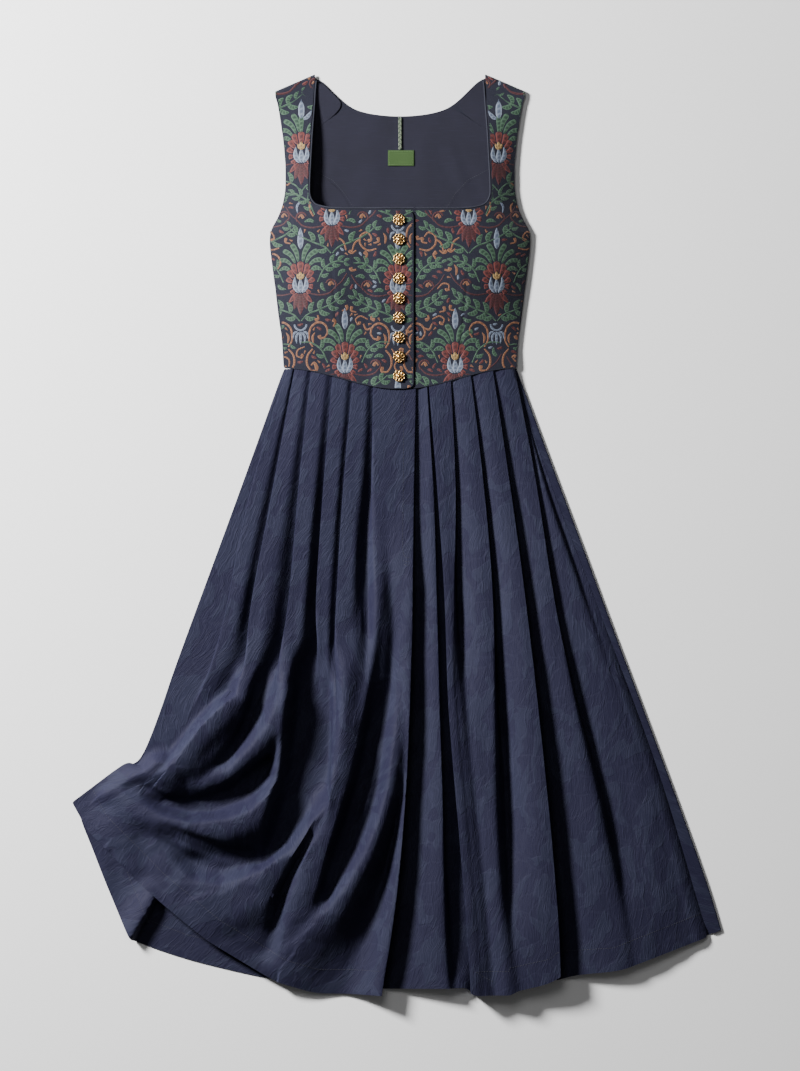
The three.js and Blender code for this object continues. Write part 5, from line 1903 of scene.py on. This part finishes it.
@dataclass
class Stitching:
    """A row of machine stitches along a line of points on the cloth."""

    name: str
    line: Sequence[Vector]
    stitch: float
    thick: float
    gap: float = 0.45  # between stitches, as a share of their length

    def build(self) -> Piece:
        """Returns the stitches as one piece, with a map named shape."""
        lengths = [0.0]
        for a, b in zip(self.line, self.line[1:]):
            lengths.append(lengths[-1] + (b - a).length)

        def at(distance: float) -> Vector:
            """Returns the point that far along the line."""
            for k in range(1, len(lengths)):
                if distance <= lengths[k]:
                    t = (distance - lengths[k - 1]) / max(1e-6, lengths[k] - lengths[k - 1])
                    return self.line[k - 1].lerp(self.line[k], t)
            return self.line[-1].copy()

        points: list[Vector] = []
        faces: list[tuple[int, ...]] = []
        maps: list[Pair] = []
        place = 0.0
        while place + self.stitch < lengths[-1]:
            a, b = at(place), at(place + self.stitch)
            along = (b - a).normalized()
            across = along.cross(up(1)).normalized()
            start = len(points)
            for t, rise, wide in ((0, -0.2, 0.4), (0.2, 0.7, 1), (0.8, 0.7, 1), (1, -0.2, 0.4)):
                middle = a.lerp(b, t)
                for u, w in ((-1, 0), (0, 1), (1, 0)):
                    lift = self.thick * (rise * 0.5 + w * wide * 0.8)
                    points.append(middle + across * self.thick * u * wide + up(lift))
                    maps.append((t * 0.3, (u + 1) / 2))
            corners = [start + i * 3 + j for i in range(3) for j in range(2)]
            faces += [(k, k + 1, k + 4, k + 3) for k in corners]
            place += self.stitch + self.stitch * self.gap
        piece = mesh_piece(self.name, points, faces)
        lay_map(piece, "shape", maps)
        only(piece)
        bpy.ops.object.shade_smooth()
        return piece


@dataclass(frozen=True)
class Seamstress:
    """Sews rows of stitches on a finished piece of cloth."""

    cloth: Piece
    tones: tuple[Colour, Colour] = ((0.008, 0.008, 0.018), (0.019, 0.020, 0.037))
    step: float = 1.6

    def on_top(self, x: float, y: float) -> Vector | None:
        """Returns the top of the cloth at a place, in millimetres."""
        hit, place, _, _ = self.cloth.ray_cast(Vector((x * MM, y * MM, 0.2)), up(-1))
        return place / MM if hit else None

    def row(self, name: str, path: Sequence[Pair], stitch: float = 2.6, thick: float = 0.28) -> Piece | None:
        """Returns one row of stitches along a path on the cloth, or None where there is no cloth."""
        line = []
        for a, b in zip(path, path[1:]):
            steps = max(1, int(math.dist(a, b) / self.step))
            for i in range(steps):
                found = self.on_top(lerp(a[0], b[0], i / steps), lerp(a[1], b[1], i / steps))
                if found:
                    line.append(found + up(0.02))
        if len(line) < 4:
            return None
        row = Stitching(name, line, stitch, thick).build()
        row.data.materials.append(Thread(name + "_thread", *self.tones).material())
        return row

    def sew(self, name: str, paths: Sequence[Sequence[Pair]], slot: str, **kind: float) -> Piece:
        """Sews several rows and joins them into one piece."""
        rows = [self.row(f"{name}_{i}", path, **kind) for i, path in enumerate(paths)]
        return dress(joined(name, [row for row in rows if row]), None, slot)


@dataclass
class Trim:
    """Piping round the neck, the braided cord and the label."""

    piping_radius: float = 1.25
    piping_reach: float = 2.2
    piping_rise: float = 1.3
    piping_steps: int = 6
    shoulder_y: float = 430
    left_start: float = 21.5
    braid_top: float = 381.0
    braid_bottom: float = 336.5
    braid_steps: int = 150
    plaits: int = 7
    braid_rise: float = 1.15
    braid_swing: float = 1.8
    braid_depth: float = 0.58
    strand_radius: float = 0.5
    label_size: tuple[float, float, float] = (36.4, 21.7, 0.7)
    label_at: Pair = (1.4, 324.5)
    label_sag: float = 0.16
    label_rim: tuple[float, float, float] = (0.12, 1.2, 3.2)  # rise, and where it starts and ends
    stitch_inset: float = 1.6

    def piping_line(self, front: BodiceFront) -> Row:
        """Returns the line of the piping, moved out from the neck edge of a front."""
        rows = front.flat_rows()
        edge = [row[STRAP_END] for row in rows[len(SHOULDER_TURN) - 1 : NECK_AT]]
        places = [Vector((front.side * p[0], p[1])) for p in (*edge, *rows[NECK_AT][STRAP_END + 1 :])]
        if front.side > 0:
            start = Vector((self.left_start, NECK_ROW[-1][1]))
            places = [p for p in places if p.x >= self.left_start] + [start]
        line = []
        for i, here in enumerate(places):
            along = heading(places, i)
            out = Vector((-along.y, along.x)) * -front.side * self.piping_reach
            level = front.height(here.x, here.y) if here.y < self.shoulder_y else BODICE_LEVEL
            level = max(level, ON_LINING + self.piping_rise)
            line.append(Vector((here.x + out.x, here.y + out.y, level)))
        axes = [[p[k] for p in line] for k in range(3)]
        count = (len(line) - 1) * self.piping_steps
        return [Vector([curve(axis, i / self.piping_steps) for axis in axes]) for i in range(count + 1)]

    def braid(self) -> Piece:
        """Returns the cord: three strands plaited flat, in two greens."""
        light = ((0.13, 0.18, 0.11), (0.34, 0.40, 0.28))
        dark = ((0.010, 0.026, 0.012), (0.030, 0.056, 0.030))
        strands = []
        for k, tones in enumerate((light, dark, light)):
            line = []
            for i in range(self.braid_steps + 1):
                t = i / self.braid_steps
                angle = 2 * math.pi * (self.plaits * t + k / 3)
                x = self.braid_swing * math.sin(angle)
                z = ON_LINING + self.braid_rise + self.braid_depth * math.sin(2 * angle)
                line.append(Vector((x, lerp(self.braid_top, self.braid_bottom, t), z)))
            strand = tube(f"braid_strand_{k}", line, self.strand_radius, 7)
            strand.data.materials.append(Thread(f"braid_{k}", *tones).material())
            strands.append(strand)
        return joined("neck_braid_cord", strands)

    def label(self) -> Piece:
        """Returns the woven label: a thin folded tape with a raised border, left bare."""
        wide, tall, thick = self.label_size
        rise, rim_start, rim_end = self.label_rim
        level = ON_LINING + thick / 2 + 0.05
        bpy.ops.mesh.primitive_cube_add(size=1, location=(0, 0, 0))
        piece = bpy.context.object
        piece.name = piece.data.name = "label_tape"
        bpy.ops.object.mode_set(mode="EDIT")
        bpy.ops.transform.resize(value=(wide * MM, tall * MM, thick * MM))
        bpy.ops.mesh.subdivide(number_cuts=10)
        bpy.ops.object.mode_set(mode="OBJECT")
        for vertex in piece.data.vertices:
            x, y, _ = vertex.co / MM
            edge = min(wide / 2 - abs(x), tall / 2 - abs(y))
            sag = self.label_sag * math.sin(x * 0.16) * math.cos(y * 0.2)
            rim = rise if rim_start < edge < rim_end and vertex.co.z > 0 else 0.0
            vertex.co.z += (rim + max(0.0, sag)) * MM
            vertex.co += Vector((*self.label_at, level)) * MM
        rounder = piece.modifiers.new("edge", "BEVEL")
        rounder.width = 0.12 * MM
        rounder.segments = 2
        apply_all(piece)
        bpy.ops.object.shade_smooth_by_angle(angle=math.radians(40))
        return piece

    def build(self, fronts: Sequence[BodiceFront]) -> dict[str, Piece]:
        """Builds the trim.

        Args:
            fronts: The two fronts whose neck edges are piped.

        Returns:
            The pieces by the node that each replaces.
        """
        navy = ((0.010, 0.011, 0.018), (0.026, 0.028, 0.043))
        green = ((0.026, 0.058, 0.014), (0.050, 0.095, 0.028))
        cloth = PlainCloth("piping_cotton", *navy, 0.0009).material()
        tape = PlainCloth("label_tape", *green, 0.0007, 0.03).material()
        made = {}
        for front in fronts:
            node = "neck_piping_" + front.word
            piece = tube(node + "_cloth", self.piping_line(front), self.piping_radius, 10)
            made[node] = dress(piece, cloth, "lining", node)
        made["label"] = dress(self.label(), tape, "label", "label")
        made["neck_braid"] = dress(self.braid(), None, "braid", "neck_braid")
        return made

    def border(self) -> list[Pair]:
        """Returns the row of stitches that holds the label, inside its edge."""
        x, y = self.label_at
        wide, tall = (size / 2 - self.stitch_inset for size in self.label_size[:2])
        turns = ((-1, -1), (1, -1), (1, 1), (-1, 1), (-1, -1))
        return [(x + wide * across, y + tall * over) for across, over in turns]


@dataclass
class Buttons:
    """Nine cast buttons: a beaded rosette in eight pierced petals."""

    count: int = 9
    top_y: float = 236.5
    pitch: float = 27.2
    x: float = -1.4
    radius: float = 8.6
    petals: int = 8
    seat: float = 0.9  # half of the solid cloth's thickness
    clearance: float = 0.5
    petal: tuple[float, float, float, float] = (5.75, 2.0, 1.95, 0.72)  # out, up, radius, wire
    tip_bead: tuple[float, float, float] = (8.25, 1.35, 0.62)  # out, up, radius
    valley_beads: Sequence[tuple[float, float, float]] = ((6.9, 1.5, 0.8), (3.3, 3.15, 0.66))
    rings: Sequence[tuple[float, float, float, int]] = ((1.0, 7.35, 0.5, 48), (2.75, 3.35, 0.5, 32))
    crown: Sequence[Pair] = ((3.0, 2.35), (4.7, 1.0))  # up, radius
    crown_flat: float = 0.8
    steps: Sequence[Pair] = ((1.6, 0), (1.2, 0.5), (1.4, 0.6))  # steps of the back disc, in and up

    def _ring(self, major: float, minor: float, at: Vector, across: int = 22, round_: int = 9) -> Piece:
        """Adds one ring of wire, in millimetres."""
        size = {"major_radius": major * MM, "minor_radius": minor * MM}
        parts = {"major_segments": across, "minor_segments": round_}
        bpy.ops.mesh.primitive_torus_add(**size, **parts, location=at * MM)
        return bpy.context.object

    def _bead(self, radius: float, at: Vector, flat: float = 1.0) -> Piece:
        """Adds one bead, in millimetres."""
        bpy.ops.mesh.primitive_uv_sphere_add(segments=12, ring_count=7, radius=radius * MM, location=at * MM)
        bead = bpy.context.object
        bead.scale.z = flat
        return bead

    def model(self) -> Piece:
        """Returns one button at the origin, its back on the XY plane."""
        gold = AntiqueGold().material()
        size = {"radius": self.radius * 0.9 * MM, "depth": 1.1 * MM}
        bpy.ops.mesh.primitive_cylinder_add(vertices=48, **size, location=(0, 0, 0.55 * MM))
        disc = bpy.context.object
        bpy.ops.object.mode_set(mode="EDIT")
        bpy.ops.mesh.select_mode(type="FACE")
        bpy.ops.mesh.select_all(action="DESELECT")
        bpy.ops.object.mode_set(mode="OBJECT")
        for face in disc.data.polygons:
            face.select = face.normal.z > 0.9
        bpy.ops.object.mode_set(mode="EDIT")
        for step, rise in self.steps:
            bpy.ops.mesh.inset(thickness=step * MM, depth=rise * MM)
        bpy.ops.object.mode_set(mode="OBJECT")
        # The back disc is coloured near black: painted shade for the hollows between the pierced petals.
        disc.data.materials.append(PaintedShadeBack().material())
        pieces = []
        for i in range(self.petals):
            angle = 2 * math.pi * (i + 0.5) / self.petals
            out = Vector((math.cos(angle), math.sin(angle), 0))
            far, high, radius, wire = self.petal
            pieces.append(self._ring(radius, wire, out * far + up(high)))
            far, high, radius = self.tip_bead
            pieces.append(self._bead(radius, out * far + up(high)))
            between = angle + math.pi / self.petals
            valley = Vector((math.cos(between), math.sin(between), 0))
            pieces += [self._bead(bead, valley * far + up(high)) for far, high, bead in self.valley_beads]
        pieces += [self._ring(ring, wire, up(high), across, 8) for high, ring, wire, across in self.rings]
        pieces += [self._bead(bead, up(high), self.crown_flat) for high, bead in self.crown]
        for piece in pieces:
            only(piece)
            bpy.ops.object.transform_apply(location=True, rotation=True, scale=True)
            piece.data.materials.append(gold)
        whole = joined("button_master", [disc, *pieces])
        bpy.ops.object.transform_apply(location=True, rotation=True, scale=True)
        bpy.ops.object.shade_smooth_by_angle(angle=math.radians(50))
        return whole

    def build(self) -> dict[str, Piece]:
        """Builds the nine buttons down the front.

        Returns:
            The buttons by the node that each replaces.
        """
        master = self.model()
        made = {}
        for i in range(self.count):
            y = self.top_y - i * self.pitch
            low, high = (bodice_height(self.x, y + d, 1) for d in (-self.radius, self.radius))
            level = (low + high) / 2 + self.seat + self.clearance
            tilt = math.atan2(high - low, 2 * self.radius)
            turn = Matrix.Rotation(tilt, 4, "X") @ Matrix.Rotation(0.13 * math.sin(2.4 * i), 4, "Z")
            mesh = master.data.copy()
            mesh.transform(Matrix.Translation(Vector((self.x, y, level)) * MM) @ turn)
            piece = bpy.data.objects.new(f"button_{i + 1}_cast", mesh)
            bpy.context.scene.collection.objects.link(piece)
            dress(piece, None, "button", f"button_{i + 1}")
            made[f"button_{i + 1}"] = piece
        bpy.data.objects.remove(master, do_unlink=True)
        return made


@dataclass
class Studio:
    """Camera straight above, soft light from the upper left, and a pale table."""

    scale: float = 1.4  # millimetres for each pixel of the 800 by 1071 picture
    distance: float = 7.0
    sensor: float = 24.0
    glow: float = 0.07  # strength of the light from all round
    table_drop: float = 0.3
    picture: tuple[int, int] = (800, 1071)
    origin_pixel: Pair = (400, 390)

    def build(self) -> None:
        """Builds the camera, the lights and the table."""
        camera = bpy.data.cameras.new("camera")
        camera.sensor_fit = "VERTICAL"
        camera.sensor_height = self.sensor
        tall = self.picture[1] * self.scale * MM
        camera.lens = self.sensor * self.distance / tall
        camera.clip_end = 50
        holder = bpy.data.objects.new("camera", camera)
        x = (self.picture[0] / 2 - self.origin_pixel[0]) * self.scale * MM
        y = (self.origin_pixel[1] - self.picture[1] / 2) * self.scale * MM
        holder.location = (x, y, self.distance)
        bpy.context.scene.collection.objects.link(holder)
        bpy.context.scene.camera = holder
        self._light("key", (-2.2, 1.15, 1.5), 0.65, 335)
        self._light("top", (-0.6, 1.2, 3.0), 1.6, 16)
        world = bpy.data.worlds.new("studio")
        world.use_nodes = True
        world.node_tree.nodes["Background"].inputs[0].default_value = (1, 1, 1, 1)
        world.node_tree.nodes["Background"].inputs[1].default_value = self.glow
        bpy.context.scene.world = world
        self._table()

    def _light(self, name: str, at: tuple[float, float, float], size: float, power: float) -> None:
        """Adds one soft light that faces the bodice and skirt."""
        light = bpy.data.lights.new(name, "AREA")
        light.shape = "DISK"
        light.size = size
        light.energy = power
        holder = bpy.data.objects.new(name, light)
        holder.location = at
        aim = Vector((0, -0.2, 0)) - Vector(at)
        holder.rotation_euler = aim.to_track_quat("-Z", "Y").to_euler()
        bpy.context.scene.collection.objects.link(holder)

    def _table(self) -> None:
        """Adds the table, just under the cloth."""
        bpy.ops.mesh.primitive_plane_add(size=30, location=up(-self.table_drop * MM))
        table = bpy.context.object
        table.name = "table"
        table.data.materials.append(Tabletop().material())


def dress(piece: Piece, material: Finish | None, slot: str, *nodes: str) -> Piece:
    """Gives a piece its material and its place in the frame.

    Args:
        piece: The finished piece.
        material: Its finish, or None where it has its own already.
        slot: The record's material slot; not used.
        nodes: The CAD nodes that it stands for.

    Returns:
        The same piece.
    """
    if material:
        piece.data.materials.clear()
        piece.data.materials.append(material)
    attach(piece, "root")
    if nodes:
        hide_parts(*nodes)
    log.info("%s: %d faces", piece.name, len(piece.data.polygons))
    return piece


def main() -> None:
    """Builds the dirndl piece by piece."""
    logging.basicConfig(level=logging.INFO, format="%(name)s %(message)s")
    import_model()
    Studio().build()
    skirt = Skirt().build()
    back = BackAndLining().build()
    jacquard = JacquardGround().material()
    fronts = [BodiceFront(-1), BodiceFront(1)]
    flowers = {}
    bodice = {}
    for front in fronts:
        bodice[front.word] = dress(front.build(), jacquard, "jacquard", "bodice_front_" + front.word)
        flowers[front.word] = dress(FlowerPattern(front).build(), None, "jacquard")
    trim = Trim().build(fronts)
    Buttons().build()
    sewn = sewing(skirt, back, bodice, trim)
    declare(skirt, back, flowers, trim, sewn)


def raised(line: Sequence[Pair], by: float) -> list[Pair]:
    """Returns a line moved up the cloth by a distance, square to itself."""
    moved = []
    for i, (x, y) in enumerate(line):
        along = heading(line, i)
        moved.append((x - along.y * by, y + along.x * by))
    return moved


def sewing(skirt: Pieces, back: Pieces, bodice: Pieces, trim: Pieces) -> Pieces:
    """Sews the rows of stitches that show.

    Args:
        skirt: The panels of the skirt.
        back: The back bodice and the lining.
        bodice: The two fronts.
        trim: Piping, label and cord.

    Returns:
        The rows by the piece that they are sewn to.
    """
    hem = Skirt.hem_turn
    placket = [(5.5, -4), (4.5, -120), (3.6, -222), (5, -230), (8, -234), (17.5, -236)]
    tack = [[(3.5, -239), (17, -241)], [(6, -244), (16, -246)]]
    seam = [(x - 3, y) for x, y in LINING_SEAM if y > 200]
    seams = [seam, [(-x, y) for x, y in seam]]
    rows = (
        ("skirt_front_right", skirt, "skirt_right", [placket, *tack, raised(RIGHT_HEM, hem)], "skirt", {}),
        ("skirt_front_left", skirt, "skirt_left", [raised(LEFT_HEM[1:], hem)], "skirt", {}),
        ("skirt_back", skirt, "skirt_back", [raised(BACK_HEM[:9], hem)], "skirt", {}),
        ("right", bodice, "bodice", [[(15.8, 246), (15.8, 150), (15.8, 6)]], "jacquard", {}),
        ("lining_back_centre", back, "lining", seams, "lining", {"stitch": 2.2, "thick": 0.2}),
    )
    made = {
        key: Seamstress(cloths[key]).sew("stitches_" + word, paths, slot, **kind)
        for key, cloths, word, paths, slot, kind in rows
    }
    label = Seamstress(trim["label"], ((0.05, 0.10, 0.03), (0.12, 0.19, 0.08)))
    made["label"] = label.sew("stitches_label", [Trim().border()], "label", stitch=1.6, thick=0.2)
    return made


def declare(skirt: Pieces, back: Pieces, flowers: Pieces, trim: Pieces, sewn: Pieces) -> None:
    """Gathers, for each front, its flowers, its piping and any stitches sewn to it; nothing more is done with
    them.
    """
    for word in ("left", "right"):
        pieces = [flowers[word], trim["neck_piping_" + word], *([sewn[word]] if word in sewn else [])]


if __name__ == "__main__":
    main()
